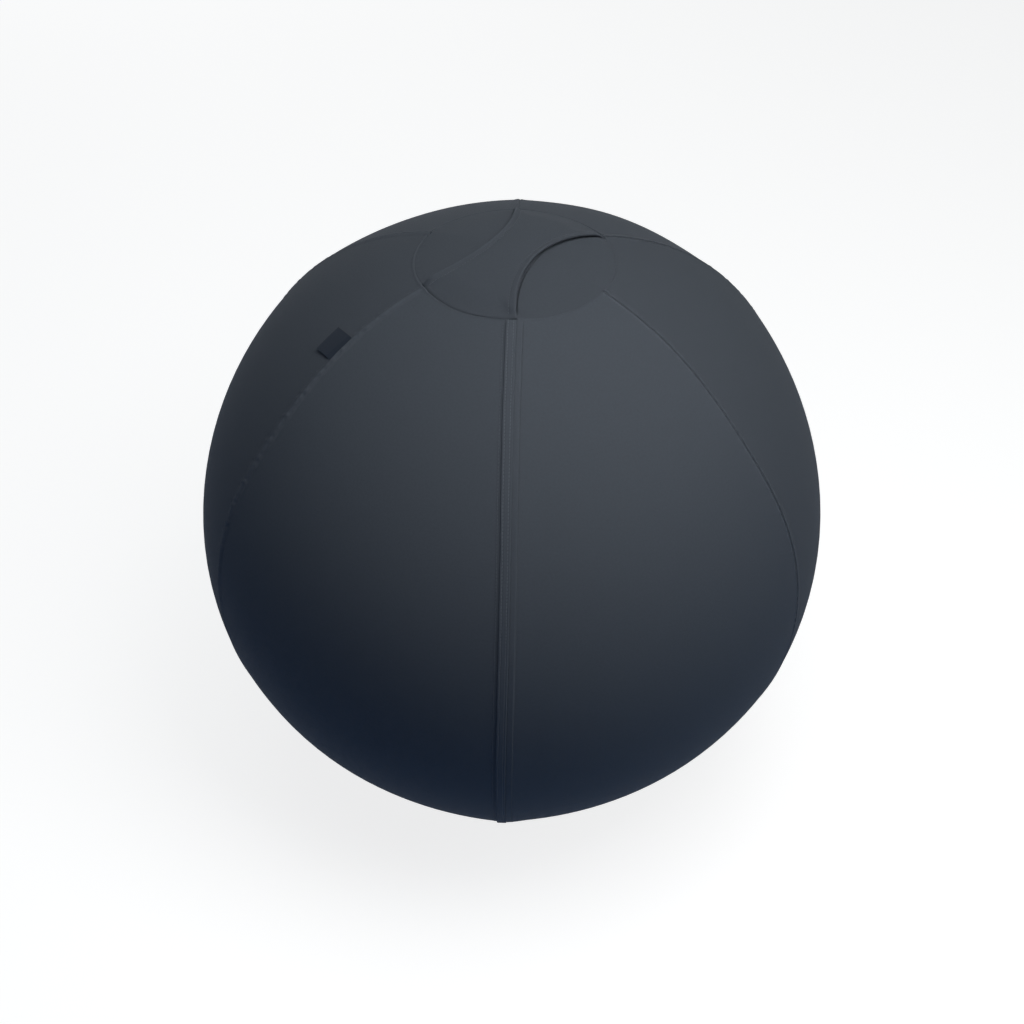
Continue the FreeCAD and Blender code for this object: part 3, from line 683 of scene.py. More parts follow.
def lining_loops(strap):
    """Closed cross sections and cloth coordinates of the lining, inside the hems."""
    handle = strap.handle
    inset = handle.hem - 0.0025
    half = strap.across[:, -1:]
    narrow = strap.across * (half - inset) / half
    thick = handle.lining * strap.fall()
    spread = 1 - np.abs(narrow) / (half - inset)
    soft = 0.42 * rounding(spread, 0.03)
    face = strap.placed(strap.under() + thick * (0.5 + soft), narrow)
    back = strap.placed(strap.under() + thick * (0.5 - soft), narrow)
    return there_and_back(face, back), same_weave(np.stack([narrow, strap.along], axis=-1))


def lap_loops(cover, lap):
    """Closed cross sections and cloth coordinates of the lap from rim to rim, and the lines of
    its stitches."""
    run = rim_to_rim(cover)
    row_step, ends_gap = 0.0024, 0.038
    inner = np.arange(ends_gap, run - ends_gap, row_step)
    along = np.concatenate([NEAR, inner, run - NEAR[::-1]])[:, None]
    polar = rim_angle(cover) + along / cover.radius
    lean = lap.wander * (smooth(polar, 0.3, 1.2) - smooth(polar, 2.0, 2.4) - 0.5)
    edge = lap.free_edge + lean + 0.0002 * ripple(along, "lap_edge", 4)
    part = np.array((0, 0.012, 0.035, 0.08, 0.14, 0.19, 0.22, 0.25, 0.30, 0.40, 0.52, 0.62, 0.69,
                     0.72, 0.75, 0.80, 0.87, 0.93, 0.965, 0.985, 1.0))
    stitched = [int(np.argmin(np.abs(part - share_across))) for share_across in (0.22, 0.72)]
    foot = lap.sewn + np.array((0.15, 0.3, 1.5, 4.0, 6.4)) / 1000 + 0 * along
    across = np.concatenate([edge + part * (lap.sewn - edge), foot], axis=1)
    from_edge = across - edge
    from_sewn = lap.sewn - across
    across = across + cover.radius * np.sin(polar) * seam_azimuth(cover, 0, polar)
    fold = rounding(from_edge, 0.0005)
    groove, pucker, sewn_rise, foot_depth = 0.00022, 0.00010, 0.0004, 0.0012
    rows = hump(from_edge, 0.0021, 0.0004) + hump(from_sewn, 0.0024, 0.0004)
    edges = hump(from_edge, 0.0012, 0.0014) + hump(from_sewn, 0.0012, 0.0014)
    high = lap.rise - groove * rows + pucker * ripple(along, "lap", 6) * edges
    high = high - (lap.rise - sewn_rise) * smooth(-from_sewn, -0.0006, 0.0002)
    low = lap.hollow - (lap.hollow + foot_depth) * smooth(-from_sewn, -0.0010, 0.0001)
    middle = (high + low) / 2
    near = np.minimum(along, run - along)
    left_at_rim = 0.3
    ends = left_at_rim + (1 - left_at_rim) * smooth(near, 0, 0.006)
    sunk = cover.strap_depth * hump(near, 0, 1.6 * cover.seam_width)
    ground = cover.radius + cloth_lift(cover, polar, 0, 0 * polar) - sunk
    apart = 2e-5
    top = on_strip(ground + (middle + (high - middle) * fold) * ends, polar, across)
    back = on_strip(ground + (middle - (middle - low) * fold) * ends - apart, polar, across)
    weave = np.stack([from_edge, along + 0 * across], axis=-1)
    lines = [top[:, column] for column in stitched]
    return there_and_back(top, back), same_weave(weave), lines


# Meshes

def mesh_object(name, points, faces, weave):
    """A smooth mesh object with its cloth coordinates in metres."""
    mesh = bpy.data.meshes.new(name)
    mesh.from_pydata(points.reshape(-1, 3).tolist(), [], faces.tolist())
    layer = mesh.uv_layers.new(name="cloth")
    layer.data.foreach_set("uv", weave.reshape(-1).astype(np.float32))
    mesh.shade_smooth()
    made = bpy.data.objects.new(name, mesh)
    bpy.context.scene.collection.objects.link(made)
    return made


def grid_mesh(name, grids, closed=False, inward=False):
    """A mesh object from grids of points and of their cloth coordinates."""
    turn = -1 if inward else 1
    spots, faces, laid = [], [], []
    for points, weave in grids:
        rows, columns = points.shape[:2]
        faces_across = columns if closed else columns - 1
        row, column = np.meshgrid(np.arange(rows - 1), np.arange(faces_across), indexing="ij")
        after = (column + 1) % columns
        corners = [row * columns + column, row * columns + after,
                   (row + 1) * columns + after, (row + 1) * columns + column]
        uvs = [weave[row, column], weave[row, column + 1],
               weave[row + 1, column + 1], weave[row + 1, column]]
        faces.append(np.stack(corners[::turn], axis=-1).reshape(-1, 4) + sum(map(len, spots)))
        laid.append(np.stack(uvs[::turn], axis=-2).reshape(-1))
        spots.append(points.reshape(-1, 3))
    return mesh_object(name, np.concatenate(spots), np.concatenate(faces), np.concatenate(laid))


def tube_faces(count, rings, sides):
    """Faces of many short tubes, each of some rings of points one after the other."""
    first = np.arange(count)[:, None, None] * rings * sides
    row, column = np.meshgrid(np.arange(rings - 1), np.arange(sides), indexing="ij")
    after = (column + 1) % sides
    corners = [first + row * sides + column, first + row * sides + after,
               first + (row + 1) * sides + after, first + (row + 1) * sides + column]
    return np.stack(corners, axis=-1).reshape(-1, 4)


def close_ends(piece):
    """Caps the open ends of a piece made of closed cross sections."""
    work = bmesh.new()
    work.from_mesh(piece.data)
    rims = [edge for edge in work.edges if edge.is_boundary]
    for face in bmesh.ops.holes_fill(work, edges=rims, sides=0)["faces"]:
        face.smooth = False
    for edge in rims:
        edge.smooth = False
    work.to_mesh(piece.data)
    work.free()


def thread_mesh(name, lines, stitch):
    """Rows of stitches along lines of points on the cloth."""
    sides = 6
    ring = np.arange(sides) * 2 * math.pi / sides
    ends_gap = 0.002
    # Shares along a stitch, and the thread's height over the cloth and thickness there.
    part = np.array((0, 0.12, 0.5, 0.88, 1))
    rise = np.array((-0.00030, 0.00008, 0.00016, 0.00008, -0.00030))
    thick = np.array((0.7, 0.95, 1.05, 0.95, 0.7)) * stitch.thread
    points = []
    for line in lines:
        outward = line - np.array(CENTRE)
        outward = outward / np.linalg.norm(outward, axis=1, keepdims=True)
        run = np.concatenate([[0], np.cumsum(np.linalg.norm(np.diff(line, axis=0), axis=1))])
        last = run[-1] - stitch.stitch - ends_gap
        starts = np.arange(ends_gap, last, stitch.stitch + stitch.space)
        at = starts[:, None] + part[None, :] * stitch.stitch
        place = np.stack([np.interp(at, run, line[:, axis]) for axis in range(3)], axis=-1)
        out = np.stack([np.interp(at, run, outward[:, axis]) for axis in range(3)], axis=-1)
        out = out / np.linalg.norm(out, axis=-1, keepdims=True)
        ahead = np.gradient(place, axis=1)
        ahead = ahead / np.linalg.norm(ahead, axis=-1, keepdims=True)
        side = np.cross(ahead, out)
        centre = place + out * rise[None, :, None]
        around = (side[:, :, None] * np.cos(ring)[None, None, :, None]
                  + out[:, :, None] * np.sin(ring)[None, None, :, None])
        points.append(centre[:, :, None] + around * thick[None, :, None, None])
    points = np.concatenate(points)
    row, column = np.meshgrid(np.arange(len(part) - 1), np.arange(sides), indexing="ij")
    corners = [np.stack([part[row + down], (column + over) / sides], axis=-1)
               for down, over in ((0, 0), (0, 1), (1, 1), (1, 0))]
    weave = np.tile(np.stack(corners, axis=-2).reshape(-1), len(points))
    return mesh_object(name, points, tube_faces(len(points), len(part), sides), weave)


# Materials

def add(tree, kind, inputs=None, **settings):
    """A node with its settings, and its inputs set or linked."""
    made = tree.nodes.new(kind)
    for key, value in settings.items():
        setattr(made, key, value)
    for key, value in (inputs or {}).items():
        if isinstance(value, bpy.types.NodeSocket):
            tree.links.new(value, made.inputs[key])
        else:
            made.inputs[key].default_value = value
    return made


def calc(tree, operation, *values):
    """A math node's result."""
    return add(tree, "ShaderNodeMath", dict(enumerate(values)), operation=operation).outputs[0]


def noise(tree, place, scale, detail):
    """A noise texture's outputs: its value, then its colour."""
    return add(tree, "ShaderNodeTexNoise", {"Vector": place, "Scale": scale, "Detail": detail}).outputs


def times(tree, place, factor):
    """A vector times a number."""
    return add(tree, "ShaderNodeVectorMath", {0: place, "Scale": factor}, operation="SCALE").outputs[0]


def new_group(name, setting, value):
    """An empty node group that takes a place and one number."""
    tree = bpy.data.node_groups.new(name, "ShaderNodeTree")
    tree.interface.new_socket(name="Place", in_out="INPUT", socket_type="NodeSocketVector")
    number = tree.interface.new_socket(name=setting, in_out="INPUT", socket_type="NodeSocketFloat")
    number.default_value = value
    return tree, tree.nodes.new("NodeGroupInput").outputs


def put_out(tree, height, shade):
    """Ends a group with its height and its shade."""
    results = {"Height": height, "Shade": shade}
    for label in results:
        tree.interface.new_socket(name=label, in_out="OUTPUT", socket_type="NodeSocketFloat")
    add(tree, "NodeGroupOutput", results)
    return tree


def woven_group():
    """Plain weave: over and under yarns with uneven fibres."""
    tree, given = new_group("woven_cloth", "Pitch", 0.0006)
    place = given["Place"]
    drift = noise(tree, place, 140.0, 2.0)["Color"]
    pull = add(tree, "ShaderNodeVectorMath", {0: drift, 1: (0.5, 0.5, 0.5)}, operation="SUBTRACT")
    shift = times(tree, pull.outputs[0], 0.0006)
    moved = add(tree, "ShaderNodeVectorMath", {0: place, 1: shift})
    turns = calc(tree, "DIVIDE", math.pi, given["Pitch"])
    parts = add(tree, "ShaderNodeSeparateXYZ", {0: times(tree, moved.outputs[0], turns)})
    warp = calc(tree, "SINE", parts.outputs[0])
    weft = calc(tree, "SINE", parts.outputs[1])
    over = calc(tree, "GREATER_THAN", calc(tree, "MULTIPLY", warp, weft), 0.0)
    warp_top = calc(tree, "ABSOLUTE", warp)
    weft_top = calc(tree, "ABSOLUTE", weft)
    crossed = calc(tree, "MULTIPLY", warp_top, weft_top)
    shown = add(tree, "ShaderNodeMix", {0: over, 2: weft_top, 3: warp_top}).outputs[0]
    height = calc(tree, "MULTIPLY_ADD", crossed, 0.5, calc(tree, "MULTIPLY", shown, 0.5))
    fibre = noise(tree, place, 3200.0, 2.0)[0]
    height = calc(tree, "MULTIPLY_ADD", fibre, 0.35, height)
    slub = noise(tree, place, 420.0, 3.0)[0]
    shade = calc(tree, "MULTIPLY_ADD", height, 0.22, 0.80)
    return put_out(tree, height, calc(tree, "MULTIPLY_ADD", slub, 0.16, shade))


def twisted_group():
    """Plies of a twisted thread, slanting round it."""
    tree, given = new_group("twisted_thread", "Turns", 5.0)
    parts = add(tree, "ShaderNodeSeparateXYZ", {0: given["Place"]})
    lead = calc(tree, "MULTIPLY_ADD", parts.outputs[0], given["Turns"], parts.outputs[1])
    ply = calc(tree, "ABSOLUTE", calc(tree, "SINE", calc(tree, "MULTIPLY", lead, 2 * math.pi)))
    return put_out(tree, ply, calc(tree, "MULTIPLY_ADD", ply, 0.4, 0.75))


def ribbed_group():
    """Fine ribs along a woven tape or band, with small slanting floats."""
    tree, given = new_group("ribbed_band", "Pitch", 0.0009)
    turns = calc(tree, "DIVIDE", math.pi, given["Pitch"])
    parts = add(tree, "ShaderNodeSeparateXYZ", {0: times(tree, given["Place"], turns)})
    rib = calc(tree, "ABSOLUTE", calc(tree, "SINE", parts.outputs[0]))
    lead = calc(tree, "MULTIPLY", parts.outputs[1], 1.6)
    slant = calc(tree, "ADD", calc(tree, "MULTIPLY", rib, 0.9), lead)
    floats = calc(tree, "ABSOLUTE", calc(tree, "SINE", slant))
    height = calc(tree, "MULTIPLY_ADD", floats, 0.4, calc(tree, "MULTIPLY", rib, 0.6))
    return put_out(tree, height, calc(tree, "MULTIPLY_ADD", height, 0.45, 0.70))


def grained_group():
    """Fine grain and faint mottling of moulded, plated or pressed surfaces."""
    tree, given = new_group("fine_grain", "Scale", 900.0)
    grain = noise(tree, given["Place"], given["Scale"], 3.0)[0]
    wide = calc(tree, "MULTIPLY", given["Scale"], 0.05)
    mottle = noise(tree, given["Place"], wide, 2.0)[0]
    return put_out(tree, grain, calc(tree, "MULTIPLY_ADD", mottle, 0.16, 0.92))


def surfaced(name, tint, group, setting, bump, roughness, swing, place, shader):
    """A material whose colour, roughness and relief come from one of the groups."""
    made = bpy.data.materials.new(name)
    made.use_nodes = True
    tree = made.node_tree
    principled = tree.nodes["Principled BSDF"]
    if place == "cloth":
        spot = add(tree, "ShaderNodeUVMap", uv_map="cloth").outputs[0]
    else:
        spot = add(tree, "ShaderNodeTexCoord").outputs["Object"]
    effect = add(tree, "ShaderNodeGroup", node_tree=group)
    tree.links.new(spot, effect.inputs["Place"])
    effect.inputs[1].default_value = setting
    height, shade = effect.outputs["Height"], effect.outputs["Shade"]
    # Cover cloth takes its painted light and shade from a mesh attribute.
    if name == "cover_cloth":
        painted_light = add(tree, "ShaderNodeAttribute", attribute_name="painted_light")
        shade = calc(tree, "MULTIPLY", shade, painted_light.outputs["Fac"])
    mixed = add(tree, "ShaderNodeMix", {0: 1.0, 6: (*tint, 1), 7: shade},
                data_type="RGBA", blend_type="MULTIPLY")
    tree.links.new(mixed.outputs[2], principled.inputs["Base Color"])
    strength, distance = bump
    relief = add(tree, "ShaderNodeBump", {"Strength": strength, "Distance": distance, "Height": height})
    tree.links.new(relief.outputs[0], principled.inputs["Normal"])
    principled.inputs["Roughness"].default_value = roughness
    if swing:
        rough = calc(tree, "MULTIPLY_ADD", height, swing, roughness - swing / 2)
        tree.links.new(rough, principled.inputs["Roughness"])
    for key, value in shader.items():
        principled.inputs[key].default_value = value
    return made


def material(name):
    """A named material, made at its first use."""
    found = bpy.data.materials.get(name)
    if found:
        return found
    scene = bpy.context.scene
    finish = scene.ball_finish
    ribs, tape_ribs = scene.ball_label.ribs, scene.ball_zip.tape_pitch
    groups = {"woven_cloth": woven_group, "twisted_thread": twisted_group,
              "ribbed_band": ribbed_group, "fine_grain": grained_group}
    # Group, colour, the group's number, bump strength and distance, roughness and its swing.
    kinds = {
        "cover_cloth": ("woven_cloth", finish.cover, finish.yarn, (0.35, 0.00016), 0.86, 0.08),
        "pouch_cloth": ("woven_cloth", finish.pouch, 0.0011, (0.5, 0.0003), 0.9, 0.0),
        "sewing_thread": ("twisted_thread", finish.thread, 5.0, (0.5, 0.00008), 0.7, 0.0),
        "lap_thread": ("twisted_thread", finish.lap_thread, 5.0, (0.5, 0.00008), 0.7, 0.0),
        "label_weave": ("ribbed_band", finish.band, ribs, (0.4, 0.00012), 0.7, 0.1),
        "tape_weave": ("ribbed_band", finish.tape, tape_ribs, (0.5, 0.0002), 0.75, 0.1),
        "tooth_plastic": ("fine_grain", finish.teeth, 1800.0, (0.1, 0.00005), 0.38, 0.1),
        "plated_metal": ("fine_grain", finish.metal, 2400.0, (0.06, 0.00004), 0.3, 0.12),
        "ball_vinyl": ("fine_grain", finish.vinyl, 700.0, (0.15, 0.0001), 0.42, 0.1),
        "valve_plastic": ("fine_grain", finish.plastic, 1500.0, (0.1, 0.00005), 0.4, 0.1),
    }
    group, tint, setting, bump, roughness, swing = kinds[name]
    tree = bpy.data.node_groups.get(group) or groups[group]()
    extra = {}
    if group != "fine_grain":
        extra = {"Sheen Weight": finish.sheen, "Sheen Roughness": 0.45, "Specular IOR Level": 0.08}
    if name == "plated_metal":
        extra = {"Metallic": 1.0}
    solid = name in ("plated_metal", "valve_plastic")
    return surfaced(name, tint, tree, setting, bump, roughness, swing,
                    "object" if solid else "cloth", extra)


def finish_piece(piece, look, body=None, nodes=(), painted_light=1.0):
    """Material, body and the solids that the piece stands for."""
    piece.data.materials.clear()
    piece.data.materials.append(material(look))
    # Cover cloth carries its painted light and shade on every point.
    if look == "cover_cloth":
        tone = piece.data.attributes.new("painted_light", "FLOAT", "POINT")
        values = np.broadcast_to(painted_light, len(piece.data.vertices))
        tone.data.foreach_set("value", values.astype(np.float32))
    if body:
        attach(piece, body)
    if nodes:
        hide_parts(*nodes)


# Pieces

class BALL_OT_panels(bpy.types.Operator):
    """Six upright panels of the cover with their seams"""

    bl_idname = "sitting_ball.panels"
    bl_label = "Upright panels"

    def execute(self, context):
        cover = context.scene.ball_cover
        for index, name in enumerate(PANELS):
            points, weave, tone = panel_grid(cover, index)
            piece = grid_mesh("cover_" + name, [(points, weave)], inward=True)
            # Painted light or shade of the panel, with the painted highlights along its seams.
            painted_light = context.scene.ball_finish.panel_painted_light[index] * tone.reshape(-1)
            finish_piece(piece, "cover_cloth", "ball", ["panel_" + name], painted_light)
        return {"FINISHED"}


class BALL_OT_round_panels(bpy.types.Operator):
    """Top and base panels of the cover"""

    bl_idname = "sitting_ball.round_panels"
    bl_label = "Round panels"

    def execute(self, context):
        cover = context.scene.ball_cover
        handle = context.scene.ball_handle
        under = [Strap(cover, handle, end).cloth_below() for end in ("front", "back")]
        beside = [crescent_grid(cover, handle, end) for end in ("right", "left")]
        top = grid_mesh("cover_top", under + beside)
        base = grid_mesh("cover_base", [base_grid(cover)], inward=True)
        for piece, slot, node, rests in ((top, "cover_fabric", "top_panel", "air_ball"),
                                         (base, "base_fabric", "base_panel", "weight_pouch")):
            # Painted shade on the top and base panels.
            finish_piece(piece, "cover_cloth", "ball", [node], context.scene.ball_finish.top_painted_shade)
        return {"FINISHED"}


class BALL_OT_handle(bpy.types.Operator):
    """Waisted strap on the top panel, in two halves that bend up from their sewn ends"""

    bl_idname = "sitting_ball.handle"
    bl_label = "Handle"

    def execute(self, context):
        scene = context.scene
        cover, handle = scene.ball_cover, scene.ball_handle
        # The handle takes the top's painted shade, and its face also the painted highlight along its
        # edges.
        painted_light = scene.ball_finish.top_painted_shade
        for side in ("front", "back"):
            strap = Strap(cover, handle, side)
            points, weave, tone = strap_loops(strap)
            face = grid_mesh(f"handle_{side}_face", [(points, weave)], closed=True)
            close_ends(face)
            finish_piece(face, "cover_cloth", nodes=["handle_face"],
                         painted_light=painted_light * tone.reshape(-1))
            points, weave = lining_loops(strap)
            lining = grid_mesh(f"handle_{side}_lining", [(points, weave)], closed=True)
            close_ends(lining)
            finish_piece(lining, "cover_cloth", nodes=["handle_lining"], painted_light=painted_light)
            top = strap.placed(strap.under() + strap.top())
            sewn = int(np.argmin(np.abs(Strap.EDGE - handle.hem)))
            lines = [top[:, sewn], top[:, -1 - sewn]]
            thread = thread_mesh(f"handle_{side}_stitches", lines, scene.ball_stitch)
            finish_piece(thread, "sewing_thread")
            for piece in (face, lining, thread):
                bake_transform(piece)
        return {"FINISHED"}


class BALL_OT_lap(bpy.types.Operator):
    """Folded lap over the zip, sewn on its right side, and the rows of stitches beside it"""

    bl_idname = "sitting_ball.lap"
    bl_label = "Lap"

    def execute(self, context):
        scene = context.scene
        cover, lap = scene.ball_cover, scene.ball_lap
        points, weave, sewn = lap_loops(cover, lap)
        piece = grid_mesh("lap_cloth", [(points, weave)], closed=True, inward=True)
        close_ends(piece)
        # The lap's colour takes a painted highlight.
        finish_piece(piece, "cover_cloth", "ball", ["zip_lap"], scene.ball_finish.lap_painted_highlight)
        thread = thread_mesh("lap_stitches", sewn, scene.ball_stitch)
        finish_piece(thread, "lap_thread", "ball")
        for soft in (piece, thread):
            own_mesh(soft)
        first = rim_angle(cover) + 0.01
        polar = np.linspace(first, math.pi - first, 400)
        off = cover.left_edge + cover.hem
        azimuth = seam_azimuth(cover, 0, polar) - off / (cover.radius * np.sin(polar))
        line = on_ball(cover.radius + panel_lift(cover, polar, azimuth), polar, azimuth)
        thread = thread_mesh("hem_stitches", [line], scene.ball_stitch)
        finish_piece(thread, "sewing_thread", "ball")
        return {"FINISHED"}


class BALL_OT_label(bpy.types.Operator):
    """Folded plain woven label in the left front seam"""

    bl_idname = "sitting_ball.label"
    bl_label = "Label"

    def execute(self, context):
        cover, label = context.scene.ball_cover, context.scene.ball_label
        flat_length, flat_width = 0.030, 0.020
        centre = np.array(CENTRE)
        pin = Vector(JOINTS["label_flip"]["pos_m"])
        up = Vector(JOINTS["label_flip"]["axis"]).normalized()
        normal = (pin - CENTRE).normalized()
        low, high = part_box("side_label")
        out = normal.cross(up).normalized()
        if out.dot((low + high) / 2 - pin) < 0:
            out = -out
        turn, lean = math.cos(label.lean), math.sin(label.lean)
        up, out = up * turn + out * lean, out * turn - up * lean
        along = np.linspace(-label.half_length, label.half_length, 41)[:, None] + label.shift
        fold = label.reach - np.array((1.5, 1.0, 0.6, 0.3, 0.1, 0)) / 1000
        reach = np.concatenate([np.linspace(-label.tuck, fold[0], 24), fold[1:]])
        flat = (np.array(pin) + along[..., None] * np.array(up)
                + reach[None, :, None] * np.array(out) - centre)
        unit = flat / np.linalg.norm(flat, axis=-1, keepdims=True)
        polar = np.arccos(unit[..., 2])
        azimuth = np.arctan2(unit[..., 0], -unit[..., 1])
        lower = 0.5 - along / flat_length
        ripple_height = 0.00012
        far = np.maximum(reach, 0) / label.reach
        lift = label.seat + label.lift * far ** 2 * (0.35 + 1.2 * lower ** 2)
        lift = lift + ripple_height * np.sin(along * 260 + 1) * far
        apart = label.thickness * np.sqrt(np.clip(1 - far ** 12, 0, 1))
        apart = apart * (0.75 + 0.25 * np.sin(math.pi * far))
        middle = cover.radius + panel_lift(cover, polar, azimuth) + lift + label.seat
        face = centre + unit * (middle + apart / 2)[..., None]
        back = centre + unit * (middle - apart / 2)[..., None]
        points = np.concatenate([face, back[:, -2::-1]], axis=1)
        weave = np.stack([reach + 0 * along, along + 0 * reach], axis=-1)
        behind = weave[:, -2::-1].copy()
        behind[..., 0] = 2 * flat_width - behind[..., 0]
        closing = weave[:, :1].copy()
        closing[..., 0] = 2 * flat_width + 0.001
        weave = np.concatenate([weave, behind, closing], axis=1)
        piece = grid_mesh("label_band", [(points, weave)], closed=True)
        close_ends(piece)
        finish_piece(piece, "label_weave", nodes=["side_label"])
        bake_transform(piece)
        return {"FINISHED"}


class BALL_OT_zip(bpy.types.Operator):
    """Zip tape and teeth under the lap, with the plated slider, pull and stops"""

    bl_idname = "sitting_ball.zip"
    bl_label = "Zip"

    def execute(self, context):
        cover, sizes = context.scene.ball_cover, context.scene.ball_zip
        for side, sign in (("left", -1), ("right", 1)):
            tape = self.tape(cover, sizes, side, sign)
            finish_piece(tape, "tape_weave", "ball", ["zip_tape_" + side])
            teeth = self.teeth(cover, sizes, side, sign)
            finish_piece(teeth, "tooth_plastic", "ball", ["zip_coil_" + side])
        for node in ("zip_slider", "zip_pull", "zip_top_stop", "zip_bottom_stop"):
            finish_piece(frame["nodes"][node], "plated_metal")
        return {"FINISHED"}

    def tape(self, cover, sizes, side, sign):
        """One half of the tape, a little thicker where the teeth are sewn on."""
        rim = rim_angle(cover)
        polar = np.linspace(rim, math.pi - rim, 260)[:, None]
        across = np.array((0.75, 0.95, 1.3, 2.2, 3.3, 3.8, 5.0, 7.0, 9.5, 12.0, 13.6, 13.9, 14.0)) / 1000
        level = np.array((0.5, 0.9, 1.0, 1.0, 1.0, 0.9, 0.9, 0.9, 0.9, 0.9, 0.9, 0.75, 0.5))
        ground = cover.radius - sizes.tape_depth
        top, back = (on_strip(ground + sizes.tape * height + 0 * polar, polar, sign * across + 0 * polar)
                     for height in (level, 1 - level))
        weave = np.stack([across + 0 * polar, polar * cover.radius + 0 * across], axis=-1)
        made = grid_mesh("tape_" + side, [(there_and_back(top, back), same_weave(weave))],
                         closed=True, inward=sign > 0)
        close_ends(made)
        return made

    def teeth(self, cover, sizes, side, sign):
        """One half of the coil: a rounded tooth at every turn."""
        radius = cover.radius
        step = sizes.tooth_pitch / radius
        start = rim_angle(cover) + sizes.start / radius
        polar = np.arange(start, start + sizes.run / radius, step) + (step / 2 if sign > 0 else 0)
        sides = 8
        ring = np.arange(sides) * 2 * math.pi / sides
        station = np.array((3.1, 3.0, 1.2, 0.9, 0.74)) / 1000 * sign
        size = np.array((0.75, 1.0, 1.0, 0.95, 0.55))[None, :, None]
        turn = polar[:, None, None] + size * sizes.tooth_width * np.cos(ring) / radius
        level = radius - sizes.tooth_depth + size * sizes.tooth_height * np.sin(ring) + 0 * turn
        points = on_strip(level, turn, station[None, :, None] + 0 * turn)
        faces = tube_faces(len(polar), len(station), sides)
        if sign < 0:
            faces = faces[:, ::-1]
        weave = points.reshape(-1, 3)[faces.reshape(-1)][:, :2]
        made = mesh_object("teeth_" + side, points, faces, weave)
        close_ends(made)
        return made


class BALL_OT_inside(bpy.types.Operator):
    """Inflated ball with its valve, and the weight under its cloth in the base"""

    bl_idname = "sitting_ball.inside"
    bl_label = "Inside"

    def execute(self, context):
        cover = context.scene.ball_cover
        self.ball(cover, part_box("base_liner")[1].z)
        self.pouch(*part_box("base_weight"))
        for node in ("valve_seat", "valve_plug"):
            finish_piece(frame["nodes"][node], "valve_plastic")
        return {"FINISHED"}

    def ball(self, cover, liner_top):
        """Wall of the inflated ball, pressed in over the weight and along the zip."""
        wall_depth, zip_depth, rib_height = 0.0038, 0.0030, 0.0002
        pole_gap, liner_gap, liner_radius = 0.002, 0.0005, 0.0705
        azimuth = np.linspace(0, 2 * math.pi, 241)[None, :]
        polar = np.linspace(pole_gap, math.pi - pole_gap, 260)[:, None]
        ribs = rib_height * np.sin(polar * 230) * smooth(np.abs(polar - math.pi / 2), 0.25, 0.4)
        wall = cover.radius - wall_depth + ribs + 0 * azimuth
        points = on_ball(wall, polar, azimuth)
        slot = (1 - smooth(np.abs(points[..., 0]), 0.0055, 0.010)) * (points[..., 1] < 0)
        points = on_ball(wall - zip_depth * slot, polar, azimuth)
        flat = np.hypot(points[..., 0], points[..., 1])
        floor = liner_top + liner_gap - np.maximum(flat - liner_radius, 0)
        points[..., 2] = np.maximum(points[..., 2], floor)
        wall_radius = 0.32
        weave = wall_radius * np.stack([azimuth + 0 * polar, polar + 0 * azimuth], axis=-1)
        piece = grid_mesh("air_ball", [(points, weave)], inward=True)
        finish_piece(piece, "ball_vinyl", "ball", ["bladder"])

    def pouch(self, low, high):
        """Stitched pouch of the weight and the cloth over it."""
        seat, cover_gap, lump = 0.0003, 0.0007, 0.0004
        # Shares of the pouch's radius and height, from its base to its top.
        profile = np.array((
            (0, 0.0), (0.3, 0.0), (0.57, 0.0), (0.72, 0.05), (0.86, 0.14), (0.96, 0.24), (1.0, 0.36),
            (0.985, 0.47), (0.94, 0.66), (0.89, 0.85), (0.85, 0.95), (0.80, 0.99), (0.6, 1.0),
            (0.3, 0.985), (0.0, 0.98)))
        widest = 6
        azimuth = np.linspace(0, 2 * math.pi, 145)
        for name, look, slot, node, scale, rise, rows in (
            ("weight_pouch", "pouch_cloth", "weight_fill", "base_weight", 0.985, 0, profile),
            ("weight_cover", "cover_cloth", "base_fabric", "base_liner", 1, cover_gap, profile[widest:]),
        ):
            across = (rows[:, 0] * high.x * scale)[:, None]
            level = low.z + seat + rows[:, 1:] * (high.z - low.z - 2 * seat) + rise
            points = np.stack([across * np.sin(azimuth), -across * np.cos(azimuth),
                               level + 0 * azimuth], axis=-1)
            lumps = lump * np.sin(7 * azimuth + 1) * np.sin(across * 90)
            points[..., 2] -= np.abs(lumps) * (rows[:, 1:] > 0.9)
            piece = grid_mesh(name, [(points, points[..., :2].copy())])
            finish_piece(piece, look, "ball", [node])


